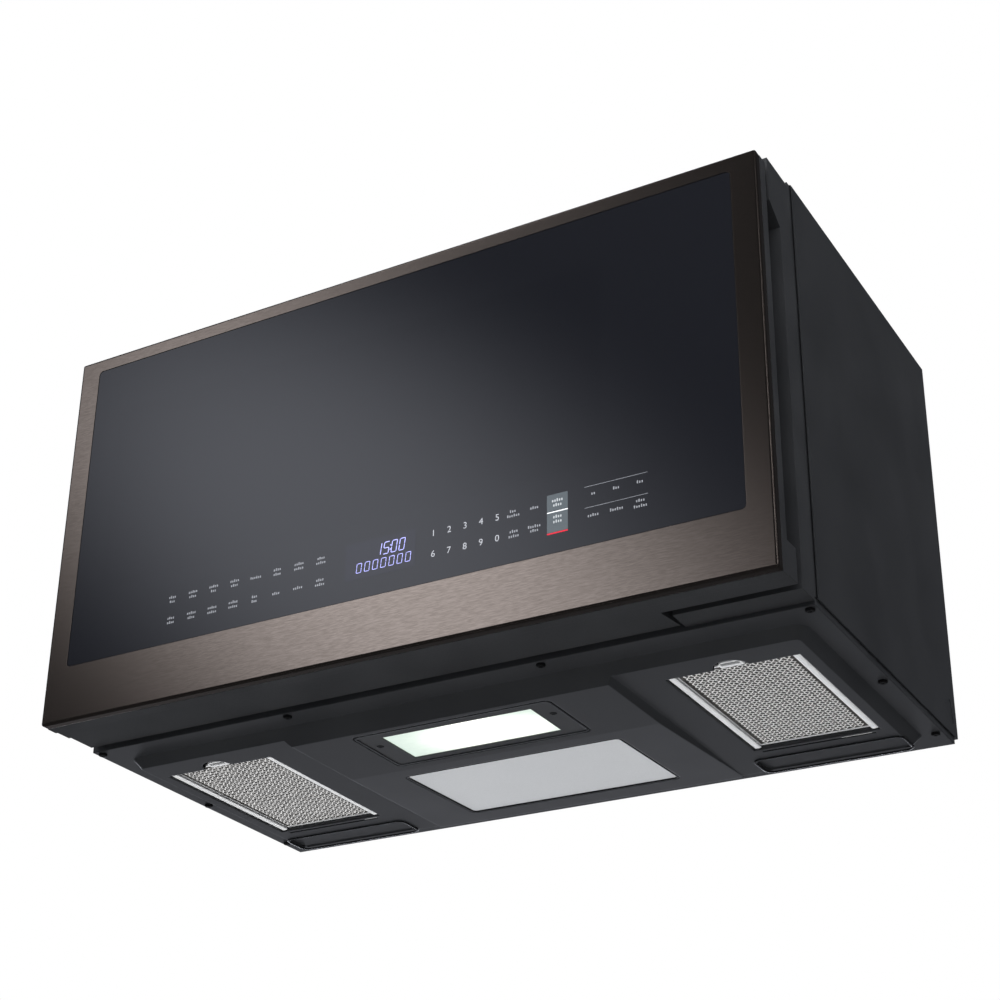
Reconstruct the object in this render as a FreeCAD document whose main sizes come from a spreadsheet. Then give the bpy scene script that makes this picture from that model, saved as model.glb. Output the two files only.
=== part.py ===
"""Over the range microwave: a parametric document, one object per physical piece, in millimetres.

X runs to the right as a person faces the door, Y runs back to the wall, Z runs up.  The origin lies on the
back face, midway between the two slots that hang the unit on its wall plate.
"""
import FreeCAD
import Part
import math
import os
import Sketcher

doc = FreeCAD.newDocument("over_range_microwave")

# name of the cell: (value in mm, degrees or a count, what it measures)
DIMENSIONS = {
    # outer case
    "cabinet_width": (759, "outer case, side to side"),
    "cabinet_height": (413.5, "outer case, lower edge to top"),
    "overall_depth": (445, "door face to back face"),
    "hook_rise": (20, "hook slots above the lower edge of the case"),
    "case_gauge": (1, "sheet of the outer case"),
    "dart_length": (30, "stamped corner marks of the case, front to back"),
    "dart_height": (28, "stamped corner marks of the case, at their rear"),
    "dart_inset": (9, "stamped corner marks, from the back face and the case's foot"),
    "dart_depth": (0.6, "stamped corner marks, into the sheet"),
    "dart_round": (3, "rounding of the stamped corner marks"),
    "case_bend": (2.5, "outer bend radius of the case"),
    "case_flange": (14, "flange turned in at the lower edge of the case"),
    "seam_gap": (5, "dark seam between front frame and case"),
    "back_gauge": (1, "sheet of the rear plate"),
    "back_lip": (12, "lip of the rear plate turned forward inside the case"),
    "slip": (0.3, "gap between pieces that are laid into each other"),
    # hanging and venting
    "hook_spacing": (560, "between the two hook slots"),
    "hook_slot_length": (32, "hook slot, end to end"),
    "hook_slot_width": (8, "hook slot, width"),
    "bolt_spacing": (508, "between the two bolts from the cabinet above"),
    "bolt_hole_radius": (3.5, "clearance hole for a quarter inch bolt"),
    "bolt_setback": (300, "bolt holes in front of the back face"),
    "exhaust_width": (256, "exhaust outlet, side to side"),
    "exhaust_depth": (84, "exhaust outlet, front to back"),
    "exhaust_setback": (14, "exhaust outlet in front of the back face"),
    "cord_hole_radius": (11, "hole for the cord gland"),
    "cord_offset": (318, "cord gland right of the centre"),
    "cord_setback": (60, "cord gland in front of the back face"),
    # door
    "door_inset": (1.5, "door inside the side of the case"),
    "door_height": (404, "door, foot to head"),
    "door_drop": (4.5, "door foot below the lower edge of the case"),
    "steel_gauge": (0.8, "sheet of the door surround"),
    "steel_flange": (9, "depth of the door surround's turned edge"),
    "steel_round": (2.5, "outer bend of the door surround"),
    "border_side": (24.5, "steel border beside the glass"),
    "border_top": (15, "steel border above the glass"),
    "border_foot": (57, "steel border below the glass"),
    "glass_corner": (4.5, "corner radius of the glass"),
    "glass_gap": (0.4, "gap around the glass"),
    "glass_thickness": (4, "door glass"),
    "glass_sink": (0.4, "glass behind the steel face"),
    "shadow_gap": (1.5, "gap between the steel's turned edge and the plastic frame"),
    "rim_depth": (22, "door face to the back of its rim"),
    "rim_inset": (0.4, "plastic frame inside the steel's outline"),
    "foot_depth": (41, "door face to the back of the thick lower edge"),
    "foot_height": (33, "height of the thick lower edge"),
    "foot_rise": (1.6, "underside of the plastic frame above the steel's edge"),
    "trough_depth": (72, "door face to the back of the control housing"),
    "trough_height": (29, "height of the control housing"),
    "trough_wall": (2.5, "wall of the control housing"),
    "trough_right": (121, "right end of the control housing from the door's right side"),
    "trough_left_inset": (3, "left end of the control housing from the door's side"),
    "trough_slant": (4, "slant of the control housing's right end"),
    "window_left": (60, "window opening from the door's left side"),
    "window_right": (156, "window opening from the door's right side"),
    "window_foot": (135, "window opening above the door's foot"),
    "window_height": (196, "window opening, foot to head"),
    "web": (3, "wall left behind the boards in the door frame"),
    # inner door
    "box_reach": (49, "door face to the back of the inner panel's cover"),
    "box_left": (34, "inner panel from the door's left side"),
    "finger_reach": (34, "finger pocket, depth in from the door's right side"),
    "box_foot": (37, "inner panel above the door's foot"),
    "box_head": (363, "head of the inner panel above the door's foot"),
    "panel_gauge": (1.2, "sheet of the inner panel"),
    "choke_border": (22, "width of the choke ring"),
    "choke_width": (19.6, "width of the choke channel"),
    "choke_depth": (24.6, "depth of the choke channel"),
    "cover_thickness": (1.2, "choke cover"),
    "screen_gauge": (0.6, "perforated screen"),
    "screen_columns": (14, "openings of the screen, side to side"),
    "screen_rows": (5, "openings of the screen, foot to head"),
    "screen_opening": (20, "opening of the screen"),
    "inner_pane_thickness": (1.2, "clear pane on the cavity side"),
    # boards in the door
    "board_thickness": (1.6, "printed boards"),
    "keys_left": (128, "touch board from the door's left side"),
    "keys_right": (34, "touch board from the door's right side"),
    "keys_foot": (62, "touch board above the door's foot"),
    "keys_head": (126, "head of the touch board above the door's foot"),
    "display_left": (342, "display from the door's left side"),
    "display_width": (76, "display, side to side"),
    "display_foot": (70, "display above the door's foot"),
    "display_height": (46, "display, foot to head"),
    "display_depth": (8, "display module, front to back"),
    "controller_width": (300, "control board, side to side"),
    "controller_depth": (22, "control board, front to back"),
    # hinges
    "hinge_inset": (10, "hinge axis from the door's left side"),
    "hinge_setback": (32, "hinge axis behind the door face"),
    "pin_radius": (3, "hinge pin"),
    "pin_slack": (0.05, "radial slack of the hinge pins"),
    "pin_reach": (9, "hinge pin below its bracket"),
    "pin_head": (1.5, "riveted head of the hinge pin"),
    "bracket_gauge": (2.5, "hinge bracket"),
    "bracket_width": (20, "hinge bracket, side to side"),
    "bracket_lap": (16, "hinge bracket's upright on the frame"),
    "ear_height": (12, "hinge ear of the door frame"),
    "ear_radius": (8.5, "rounded end of the hinge ear"),
    # latch
    "hook_right": (66, "latch hooks from the door's right side"),
    "hook_thickness": (5, "latch hooks"),
    "hook_low": (110, "lower latch hook above the door's foot"),
    "hook_high": (290, "upper latch hook above the door's foot"),
    "hook_height": (10, "arm of a latch hook"),
    "hook_nose": (5, "nose of a latch hook below its arm"),
    "hook_reach": (64, "door face to the tip of a latch hook"),
    "hook_bar_depth": (8, "bar that joins the latch hooks"),
    "hook_travel": (4, "lift of the latch hooks"),
    "hook_play": (1.5, "play around a latch hook in its slot"),
    "spring_radius": (3, "latch spring, to the wire's centre"),
    "spring_wire": (0.45, "half the section of the latch spring's square wire"),
    "spring_length": (24, "latch spring at rest"),
    "spring_turns": (5, "turns of the latch spring"),
    # front frame
    "door_gap": (1, "door closed, in front of the frame"),
    "frame_depth": (27, "front frame, front to back"),
    "frame_wall": (2, "wall of the front frame"),
    "frame_head": (412, "head of the front frame above the door's foot"),
    "frame_rail": (35, "lower rail of the front frame above the door's foot"),
    "hood_reach": (27, "door face to the front of the frame's hood"),
    "hood_foot": (367, "lower edge of the hood above the door's foot"),
    "hood_slant": (16, "rise of the hood's slanted underside"),
    "relief_width": (28, "hinge relief in the hood"),
    "block_width": (114.5, "corner block of the front frame, side to side"),
    "collar_reach": (8, "rear collar of the front frame inside the case"),
    "grille_columns": (12, "vent slots, side to side"),
    "grille_rows": (3, "vent slots, front to back"),
    "grille_slot": (5, "width of a vent slot"),
    "grille_border": (36, "vent grille from the frame's ends"),
    "charcoal_height": (16, "charcoal filter"),
    "charcoal_border": (80, "charcoal filter from the frame's ends"),
    # cavity
    "cavity_margin": (40, "cavity from the door's left side"),
    "cavity_right": (154, "cavity from the door's right side"),
    "cavity_rise": (53, "cavity floor above the door's foot"),
    "cavity_height": (269, "cavity, floor to ceiling"),
    "cavity_setback": (75, "cavity's rear wall in front of the back face"),
    "cavity_gauge": (1, "sheet of the cavity"),
    "cavity_lip": (11, "lip around the mouth of the cavity"),
    "fan_intake": (44, "half the width of the convection intake's middle slot"),
    "fan_slot_pitch": (12, "slots of the convection intake, one above the next"),
    "fan_outlet_inset": (18, "hot air outlets inside the convection housing"),
    "lamp_pitch": (9, "holes in front of the cavity lamp"),
    # turntable
    "tray_radius": (152, "glass tray"),
    "tray_thickness": (5, "glass tray"),
    "tray_rim": (8, "rise of the tray's rim"),
    "roller_radius": (9, "rollers"),
    "roller_width": (8, "rollers, along their axles"),
    "roller_circle": (105, "rollers from the turntable's axis"),
    "axle_radius": (2, "axles of the roller ring"),
    "axle_slack": (0.06, "radial slack of the rollers"),
    "ring_section": (5, "section of the roller ring"),
    "floor_gap": (0.3, "rollers clear of the floor and the tray"),
    "hub_radius": (14, "coupler hub"),
    "hub_lobe": (6, "wings of the coupler, in width and beyond the hub"),
    "stem_radius": (4, "stem of the coupler"),
    "stem_slack": (0.05, "radial slack of the coupler's stem"),
    "stem_reach": (8, "stem of the coupler in the motor"),
    "motor_radius": (24, "turntable motor"),
    "motor_height": (15, "turntable motor"),
    # convection unit
    "convector_width": (280, "convection housing, side to side"),
    "convector_height": (210, "convection housing, foot to head"),
    "convector_depth": (34, "convection housing, front to back"),
    "heater_radius": (84, "ring heater, to the tube's centre"),
    "heater_tube": (3.5, "tube radius of the heater"),
    "convection_fan_radius": (64, "convection fan"),
    "convection_fan_depth": (18, "convection fan, front to back"),
    "fan_sheet": (1, "sheet of the fans"),
    "shaft_radius": (3, "shafts of the fans"),
    "shaft_slack": (0.05, "radial slack of the shafts"),
    "convection_motor_radius": (34, "convection motor"),
    "convection_motor_depth": (26, "convection motor, front to back"),
    # electronics
    "shelf_rise": (46, "component tray above the door's foot"),
    "shelf_gauge": (1.2, "component tray"),
    "transformer_width": (84, "transformer core, side to side"),
    "transformer_depth": (70, "transformer core, front to back"),
    "transformer_height": (74, "transformer core, foot to head"),
    "transformer_setback": (255, "transformer's front, in front of the back face"),
    "winding_bulge": (14, "windings beyond the core"),
    "capacitor_width": (52, "capacitor, side to side"),
    "capacitor_depth": (34, "capacitor, front to back"),
    "capacitor_height": (92, "capacitor"),
    "capacitor_setback": (150, "capacitor's front, in front of the back face"),
    "guide_depth": (24, "waveguide, out from the cavity"),
    "guide_length": (110, "waveguide, front to back"),
    "guide_height": (84, "waveguide, foot to head"),
    "guide_rise": (190, "waveguide above the door's foot"),
    "guide_setback": (260, "waveguide's front, in front of the back face"),
    "magnetron_width": (72, "magnetron, out from the waveguide"),
    "magnetron_side": (78, "magnetron's square frame"),
    "magnetron_fins": (7, "fins of the magnetron"),
    "cooling_fan_radius": (44, "cooling fan"),
    "cooling_fan_depth": (18, "cooling fan, front to back"),
    "cooling_fan_setback": (100, "cooling fan's front, in front of the back face"),
    "cooling_fan_rise": (232, "cooling fan's axis above the door's foot"),
    "cooling_motor_side": (44, "cooling fan motor"),
    "tip_gap": (4, "fan tips inside their opening"),
    "noise_filter_side": (70, "noise filter board"),
    "noise_filter_rise": (325, "noise filter above the door's foot"),
    # hood blower
    "wheel_radius": (38, "blower wheels"),
    "wheel_width": (88, "one blower wheel"),
    "wheel_blades": (14, "blades of a blower wheel"),
    "blade_depth": (9, "blades of the blower wheels, radially"),
    "scroll_gap": (6, "blower housing beyond the wheels"),
    "scroll_wall": (1.5, "wall of the blower housing"),
    "blower_width": (296, "blower housing, side to side"),
    "blower_axis_drop": (48, "blower axis below the cabinet's top"),
    "blower_setback": (58, "blower axis in front of the back face"),
    "blower_motor_radius": (32, "blower motor"),
    "blower_motor_width": (62, "blower motor, along its shaft"),
    # base plate
    "base_gauge": (1, "sheet of the base plate"),
    "base_inset": (2, "base plate inside the case"),
    "base_drop": (6, "base plate's flange below the lower edge of the case"),
    "base_gap": (0.8, "base plate behind the front frame"),
    "base_back": (5, "base plate in front of the back face"),
    "press_side": (20, "pressed form from the plate's side edges"),
    "press_front": (29, "pressed form from the plate's front edge"),
    "press_back": (25, "pressed form from the plate's back edge"),
    "press_depth": (9.5, "pressed form below the flange"),
    "press_slope": (9.5, "run of the pressed form's sloping walls"),
    "press_corner": (15, "corner radius of the pressed form"),
    "keel_width": (348, "deeper centre section, side to side"),
    "keel_depth": (5.5, "centre section below the pressed form"),
    "keel_bend": (149, "bend of the centre section from the plate's front edge"),
    "keel_end": (30, "end of the centre section from the plate's back edge"),
    "pad_width": (146, "pressed pad behind a filter, side to side"),
    "pad_depth": (35, "pressed pad behind a filter, front to back"),
    "pad_height": (2.6, "pressed pad behind a filter"),
    "recess_corner": (7, "corner radius of the pads and recesses in the pressed form"),
    "pad_back": (33, "pressed pad from the plate's back edge"),
    "lamp_recess_width": (212, "recess of the lamp cover, side to side"),
    "lamp_recess_depth": (88, "recess of the lamp cover, front to back"),
    "lamp_recess_front": (50, "recess of the lamp cover from the plate's front edge"),
    "recess_height": (2, "recess of the lamp cover and the label plate"),
    "label_width": (238, "recess of the label plate, side to side"),
    "label_depth": (140, "recess of the label plate, front to back"),
    "label_front": (166, "recess of the label plate from the plate's front edge"),
    "label_gauge": (0.8, "label plate"),
    # grease filters
    "filter_offset": (274, "middle of a grease filter from the centre"),
    "filter_width": (124, "grease filter, side to side"),
    "filter_length": (198, "grease filter, front to back"),
    "filter_front": (70, "grease filter from the plate's front edge"),
    "filter_thickness": (3, "grease filter"),
    "filter_border": (8, "side rails of a grease filter"),
    "filter_end": (3, "end rails of a grease filter"),
    "filter_sink": (4, "grease filter above the pressed form's face"),
    "filter_gap": (0.6, "grease filter in its opening"),
    "mesh_thickness": (2.2, "mesh of a grease filter"),
    "thumb_radius": (16, "half round thumb notch in front of a filter"),
    "tab_width": (22, "pull tab of a filter, side to side"),
    "tab_reach": (8.5, "pull tab of a filter beyond its frame"),
    "tab_band": (2.2, "band of metal around the opening of the pull tab"),
    "tab_gauge": (1.6, "pull tab below the filter's frame"),
    "slot_width": (3, "slot behind a filter, front to back"),
    "slot_length": (112, "slot behind a filter, side to side"),
    "slot_gap": (4, "slot behind a filter from the opening"),
    # cooktop lamp
    "lens_width": (160, "lamp window, side to side"),
    "lens_depth": (62, "lamp window, front to back"),
    "lens_front": (64, "lamp window from the plate's front edge"),
    "lens_lap": (5, "lens beyond the window"),
    "lens_thickness": (3, "lamp lens"),
    "lamp_cover_gauge": (1.5, "lamp cover"),
    "lamp_height": (26, "lamp housing"),
    "lamp_wall": (1.2, "wall of the lamp housing"),
    # fasteners
    "screw_radius": (2.3, "clearance holes of the screws"),
    "screw_inset": (7, "base plate screws from the plate's edges"),
}


class Size:
    """A length made of cells of the sheet: the expression that is bound, and its present value."""

    def __init__(self, text, value):
        self.text = text
        self.value = value

    def _join(self, sign, other, value, swap=False):
        text = other.text if isinstance(other, Size) else repr(other)
        parts = (text, self.text) if swap else (self.text, text)
        return Size(f"({parts[0]} {sign} {parts[1]})", value)

    def __add__(self, other):
        return self._join("+", other, self.value + float(other))

    def __radd__(self, other):
        return self._join("+", other, float(other) + self.value, swap=True)

    def __sub__(self, other):
        return self._join("-", other, self.value - float(other))

    def __rsub__(self, other):
        return self._join("-", other, float(other) - self.value, swap=True)

    def __mul__(self, other):
        return self._join("*", other, self.value * float(other))

    def __rmul__(self, other):
        return self._join("*", other, float(other) * self.value, swap=True)

    def __truediv__(self, other):
        return self._join("/", other, self.value / float(other))

    def __neg__(self):
        return Size(f"(-{self.text})", -self.value)

    def __float__(self):
        return float(self.value)


class Cells:
    """The sheet's cells, read by their alias."""

    def __getattr__(self, name):
        return Size(f"dims.{name}", float(DIMENSIONS[name][0]))

    def count(self, name):
        return int(DIMENSIONS[name][0])


def make_sheet():
    sheet = doc.addObject("Spreadsheet::Sheet", "dims")
    for row, (name, (value, note)) in enumerate(DIMENSIONS.items(), start=1):
        sheet.set(f"A{row}", note)
        sheet.set(f"B{row}", str(value))
        sheet.setAlias(f"B{row}", name)
    doc.recompute()
    return sheet


sheet = make_sheet()
d = Cells()

# Datums: the planes that the pieces share
half_cabinet = d.cabinet_width / 2
half_door = half_cabinet - d.door_inset
face = -d.overall_depth
cabinet_foot = -d.hook_rise
cabinet_head = cabinet_foot + d.cabinet_height
door_foot = cabinet_foot - d.door_drop
door_head = door_foot + d.door_height
rim_back = face + d.rim_depth
box_back = face + d.box_reach
panel_back = box_back - d.cover_thickness
frame_front = box_back + d.door_gap
frame_inner = frame_front + d.frame_wall
frame_back = frame_front + d.frame_depth
frame_top = door_foot + d.frame_head
case_front = frame_back + d.seam_gap
box_low = door_foot + d.box_foot
box_high = door_foot + d.box_head
box_start = -half_door + d.box_left
box_end = half_door - d.finger_reach
hinge_x = -half_door + d.hinge_inset
hinge_y = face + d.hinge_setback
cavity_start = -half_door + d.cavity_margin
cavity_end = half_door - d.cavity_right
cavity_low = door_foot + d.cavity_rise
cavity_high = cavity_low + d.cavity_height
cavity_front = frame_inner
cavity_back = -d.cavity_setback
table_x = (cavity_start + cavity_end) / 2
table_y = (cavity_front + cavity_back) / 2
base_face = cabinet_foot - d.base_drop
base_front = frame_back + d.base_gap
base_side = half_cabinet - d.base_inset
base_rear = -d.base_back
press_face = base_face - d.press_depth
keel_face = press_face - d.keel_depth
keel_back = base_rear - d.keel_end
block_left = half_door - d.block_width
trough_end = half_door - d.trough_right
lens_foot = keel_face + d.recess_height
lens_seat = lens_foot + d.base_gauge

NORMALS = {"XY": ("XY_Plane", 1), "XZ": ("XZ_Plane", -1), "YZ": ("YZ_Plane", 1)}
TURNS = {
    "X": FreeCAD.Rotation(FreeCAD.Vector(0, 1, 0), 90),
    "Y": FreeCAD.Rotation(FreeCAD.Vector(1, 0, 0), -90),
    "Z": FreeCAD.Rotation(),
}
ALONG = {"X": (1, 0, 0), "Y": (0, 1, 0), "Z": (0, 0, 1)}


def bind(target, prop, size):
    """Bind one property to an expression of the sheet, or set it when it is a plain number."""
    if isinstance(size, Size):
        target.setExpression(prop, size.text)
    else:
        setattr(target, prop, size)


def place(target, x, y, z, turn=None):
    target.Placement = FreeCAD.Placement(
        FreeCAD.Vector(float(x), float(y), float(z)), turn or FreeCAD.Rotation()
    )
    for axis, size in (("x", x), ("y", y), ("z", z)):
        if isinstance(size, Size):
            target.setExpression(f"Placement.Base.{axis}", size.text)


def block(name, x, y, z):
    """A box between two planes along each axis."""
    solid = doc.addObject("Part::Box", name)
    for prop, (low, high) in (("Length", x), ("Width", y), ("Height", z)):
        bind(solid, prop, high - low)
    place(solid, x[0], y[0], z[0])
    return solid


def rod(name, axis, at, span, radius):
    """A cylinder along X, Y or Z; at gives its two other coordinates in X, Y, Z order."""
    solid = doc.addObject("Part::Cylinder", name)
    bind(solid, "Radius", radius)
    bind(solid, "Height", span[1] - span[0])
    base = list(at)
    base.insert("XYZ".index(axis), span[0])
    place(solid, *base, turn=TURNS[axis])
    return solid


def fuse(name, *shapes):
    joined = doc.addObject("Part::MultiFuse", name)
    joined.Shapes = list(shapes)
    return joined


def cut(name, base, *tools):
    result = doc.addObject("Part::Cut", name)
    result.Base = base
    result.Tool = tools[0] if len(tools) == 1 else fuse(f"{name}_tools", *tools)
    return result


def group(name, shapes):
    """Like pieces that stay separate solids of one object."""
    pieces = doc.addObject("Part::Compound", name)
    pieces.Links = shapes
    return pieces


def rect(x, y):
    return [(x[0], y[0]), (x[1], y[0]), (x[1], y[1]), (x[0], y[1])]


def grown(span, amount):
    return (span[0] - amount, span[1] + amount)


def edges_along(shape, axis, places=None):
    """Names of the straight edges along an axis, all of them or those at the given places."""
    direction = FreeCAD.Vector(*ALONG[axis])
    names = []
    for number, edge in enumerate(shape.Edges, start=1):
        if len(edge.Vertexes) < 2 or edge.Curve.TypeId != "Part::GeomLine":
            continue
        if abs(abs(edge.Curve.Direction.dot(direction)) - 1) > 1e-6:
            continue
        point = edge.Vertexes[0].Point
        others = [value for letter, value in zip("XYZ", point) if letter != axis]
        if places is None or any(
            math.dist(others, [float(v) for v in spot]) < 0.02 for spot in places
        ):
            names.append(f"Edge{number}")
    return names


class Body:
    """A PartDesign body whose features are drawn on its own origin planes."""

    def __init__(self, label):
        self.body = doc.addObject("PartDesign::Body", label)

    def origin(self, role):
        return next(item for item in self.body.Origin.OriginFeatures if item.Role == role)

    def sketch(self, plane, start, outlines, circles):
        role, sign = NORMALS[plane]
        sketch = self.body.newObject("Sketcher::SketchObject", "outline")
        sketch.AttachmentSupport = [(self.origin(role), "")]
        sketch.MapMode = "FlatFace"
        bind(sketch, "AttachmentOffset.Base.z", sign * Size("0", 0) + sign * start)
        for outline in outlines:
            self.draw_outline(sketch, outline)
        for centre, radius in circles:
            self.draw_circle(sketch, centre, radius)
        return sketch

    def draw_outline(self, sketch, outline):
        first = sketch.GeometryCount
        corners = [FreeCAD.Vector(float(u), float(v), 0) for u, v in outline]
        following = corners[1:] + corners[:1]
        sketch.addGeometry([Part.LineSegment(a, b) for a, b in zip(corners, following)])
        ties = []
        for index, (u, v) in enumerate(outline):
            line = first + index
            after = first + (index + 1) % len(corners)
            ties.append((Sketcher.Constraint("Coincident", line, 2, after, 1), 0))
            ties.append((Sketcher.Constraint("DistanceX", -1, 1, line, 1, float(u)), u))
            ties.append((Sketcher.Constraint("DistanceY", -1, 1, line, 1, float(v)), v))
        self.tie(sketch, ties)

    def draw_circle(self, sketch, centre, radius):
        middle = FreeCAD.Vector(float(centre[0]), float(centre[1]), 0)
        circle = sketch.addGeometry(
            Part.Circle(middle, FreeCAD.Vector(0, 0, 1), float(radius))
        )
        u, v = centre
        self.tie(sketch, [
            (Sketcher.Constraint("DistanceX", -1, 1, circle, 3, float(u)), u),
            (Sketcher.Constraint("DistanceY", -1, 1, circle, 3, float(v)), v),
            (Sketcher.Constraint("Radius", circle, float(radius)), radius),
        ])

    def tie(self, sketch, ties):
        """Add constraints and bind each one that has a size of its own."""
        first = sketch.ConstraintCount
        sketch.addConstraint([constraint for constraint, size in ties])
        for number, (constraint, size) in enumerate(ties, start=first):
            if isinstance(size, Size):
                sketch.setExpression(f"Constraints[{number}]", size.text)

    def feature(self, kind, plane, span, outlines, circles, reverse):
        sketch = self.sketch(plane, span[0], outlines, circles)
        item = self.body.newObject(kind, "step")
        item.Profile = sketch
        item.Reversed = reverse
        bind(item, "Length", span[1] - span[0])
        return item

    def pad(self, plane, span, outlines=(), circles=()):
        """Add material between two planes across the sketch's normal."""
        return self.feature(
            "PartDesign::Pad", plane, span, outlines, circles, NORMALS[plane][1] < 0
        )

    def pocket(self, plane, span, outlines=(), circles=()):
        """Remove material between two planes; a pocket that removes nothing is an error."""
        doc.recompute()
        before = self.body.Shape.Volume
        item = self.feature(
            "PartDesign::Pocket", plane, span, outlines, circles, NORMALS[plane][1] > 0
        )
        doc.recompute()
        if not self.body.Shape.Volume < before - 1e-6:
            raise ValueError(f"{self.body.Label}: a pocket cuts nothing")
        return item

    def revolve(self, centre, outline):
        """Turn an outline of (radius, height) points about an upright axis at the centre."""
        sketch = self.body.newObject("Sketcher::SketchObject", "outline")
        sketch.AttachmentSupport = [(self.origin("XZ_Plane"), "")]
        sketch.MapMode = "FlatFace"
        bind(sketch, "AttachmentOffset.Base.x", centre[0] + Size("0", 0))
        bind(sketch, "AttachmentOffset.Base.z", -centre[1] + Size("0", 0))
        self.draw_outline(sketch, outline)
        item = self.body.newObject("PartDesign::Revolution", "turned")
        item.Profile = sketch
        item.ReferenceAxis = (sketch, ["V_Axis"])
        item.Angle = 360
        return item

    def fillet(self, radius, axis, places=None, kind="PartDesign::Fillet"):
        doc.recompute()
        base = self.body.Tip
        names = edges_along(base.Shape, axis, places)
        if not names:
            raise ValueError(f"{self.body.Label}: no edge to round")
        item = self.body.newObject(kind, "round")
        item.Base = (base, names)
        bind(item, "Radius" if kind == "PartDesign::Fillet" else "Size", radius)
        return item

    def polar(self, step, axis, count):
        item = self.body.newObject("PartDesign::PolarPattern", "around")
        item.Originals = [step]
        item.Axis = (self.origin(axis), [""])
        item.Angle = 360
        bind(item, "Occurrences", count)
        self.body.Tip = item
        return item

    def linear(self, step, axis, length, count):
        item = self.body.newObject("PartDesign::LinearPattern", "row")
        item.Originals = [step]
        item.Direction = (self.origin(axis), [""])
        bind(item, "Length", length)
        bind(item, "Occurrences", count)
        self.body.Tip = item
        return item


NODES = {}


def node(name, shape):
    """Hand a finished sub-part over to be written under its own name."""
    item = shape.body if isinstance(shape, Body) else shape
    item.Label = name
    NODES[name] = item


# ---------------------------------------------------------------- outer case

def cabinet_wrap():
    """Top and two sides bent from one sheet, with flanges turned in at the lower edges."""
    wrap = Body("cabinet_wrap")
    inner = half_cabinet - d.case_gauge
    flange = half_cabinet - d.case_flange
    top = cabinet_head - d.case_gauge
    foot = cabinet_foot + d.case_gauge
    outline = [
        (-half_cabinet, cabinet_foot), (-flange, cabinet_foot), (-flange, foot), (-inner, foot),
        (-inner, top), (inner, top), (inner, foot), (flange, foot),
        (flange, cabinet_foot), (half_cabinet, cabinet_foot), (half_cabinet, cabinet_head),
        (-half_cabinet, cabinet_head),
    ]
    wrap.pad("XZ", (case_front, Size("0", 0)), [outline])
    wrap.fillet(d.case_bend, "Y", [(-half_cabinet, cabinet_head), (half_cabinet, cabinet_head)])
    through = (top - 1, cabinet_head + 1)
    exhaust_front = -d.exhaust_setback - d.exhaust_depth
    wrap.pocket("XY", through, [rect(
        (-d.exhaust_width / 2, d.exhaust_width / 2), (exhaust_front, -d.exhaust_setback)
    )])
    wrap.pocket("XY", through, circles=[
        ((-d.bolt_spacing / 2, -d.bolt_setback), d.bolt_hole_radius),
        ((d.bolt_spacing / 2, -d.bolt_setback), d.bolt_hole_radius),
        ((d.cord_offset, -d.cord_setback), d.cord_hole_radius),
    ])
    dart_foot = cabinet_foot + d.dart_inset
    dart = [
        (-d.dart_inset, dart_foot), (-d.dart_inset * 1.5, dart_foot + d.dart_height),
        (-d.dart_inset - d.dart_length, dart_foot + d.dart_height / 2),
    ]
    for skin in ((-half_cabinet - 1, -half_cabinet + d.dart_depth),
                 (half_cabinet - d.dart_depth, half_cabinet + 1)):
        wrap.pocket("YZ", skin, [dart])
    wrap.fillet(d.dart_round, "X", dart)
    node("cabinet_wrap", wrap)


def back_plate():
    """Rear plate with lips inside the case and two slots for the hooks of the wall plate."""
    plate = Body("back_plate")
    side = half_cabinet - d.case_gauge
    span_x = (-side, side)
    span_z = (cabinet_foot + d.case_gauge, cabinet_head - d.case_gauge)
    plate.pad("XZ", (-d.back_lip, Size("0", 0)), [rect(span_x, span_z)])
    plate.pocket("XZ", (-d.back_lip - 1, -d.back_gauge), [rect(
        grown(span_x, -d.back_gauge), grown(span_z, -d.back_gauge)
    )])
    slots = [
        rect(
            (side_x - d.hook_slot_length / 2, side_x + d.hook_slot_length / 2),
            (-d.hook_slot_width / 2, d.hook_slot_width / 2),
        )
        for side_x in (-d.hook_spacing / 2, d.hook_spacing / 2)
    ]
    plate.pocket("XZ", (-d.back_gauge - 1, Size("1", 1)), slots)
    plate.fillet(d.hook_slot_width / 2 - 0.01, "Y", [
        corner for slot in slots for corner in slot
    ])
    node("back_plate", plate)


def cord_gland():
    """Bush where the mains lead enters the case."""
    centre = (d.cord_offset, -d.cord_setback)
    top = (cabinet_head, cabinet_head + 3)
    collar = rod("gland_collar", "Z", centre, top, d.cord_hole_radius + 3)
    neck = rod("gland_neck", "Z", centre, (cabinet_head - 12, top[1]), d.cord_hole_radius - d.slip)
    bore = rod("gland_bore", "Z", centre, (cabinet_head - 13, top[1] + 1), d.cord_hole_radius - 5)
    node("cord_gland", cut("cord_gland", fuse("gland_body", collar, neck), bore))


# ---------------------------------------------------------------- front frame

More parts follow.
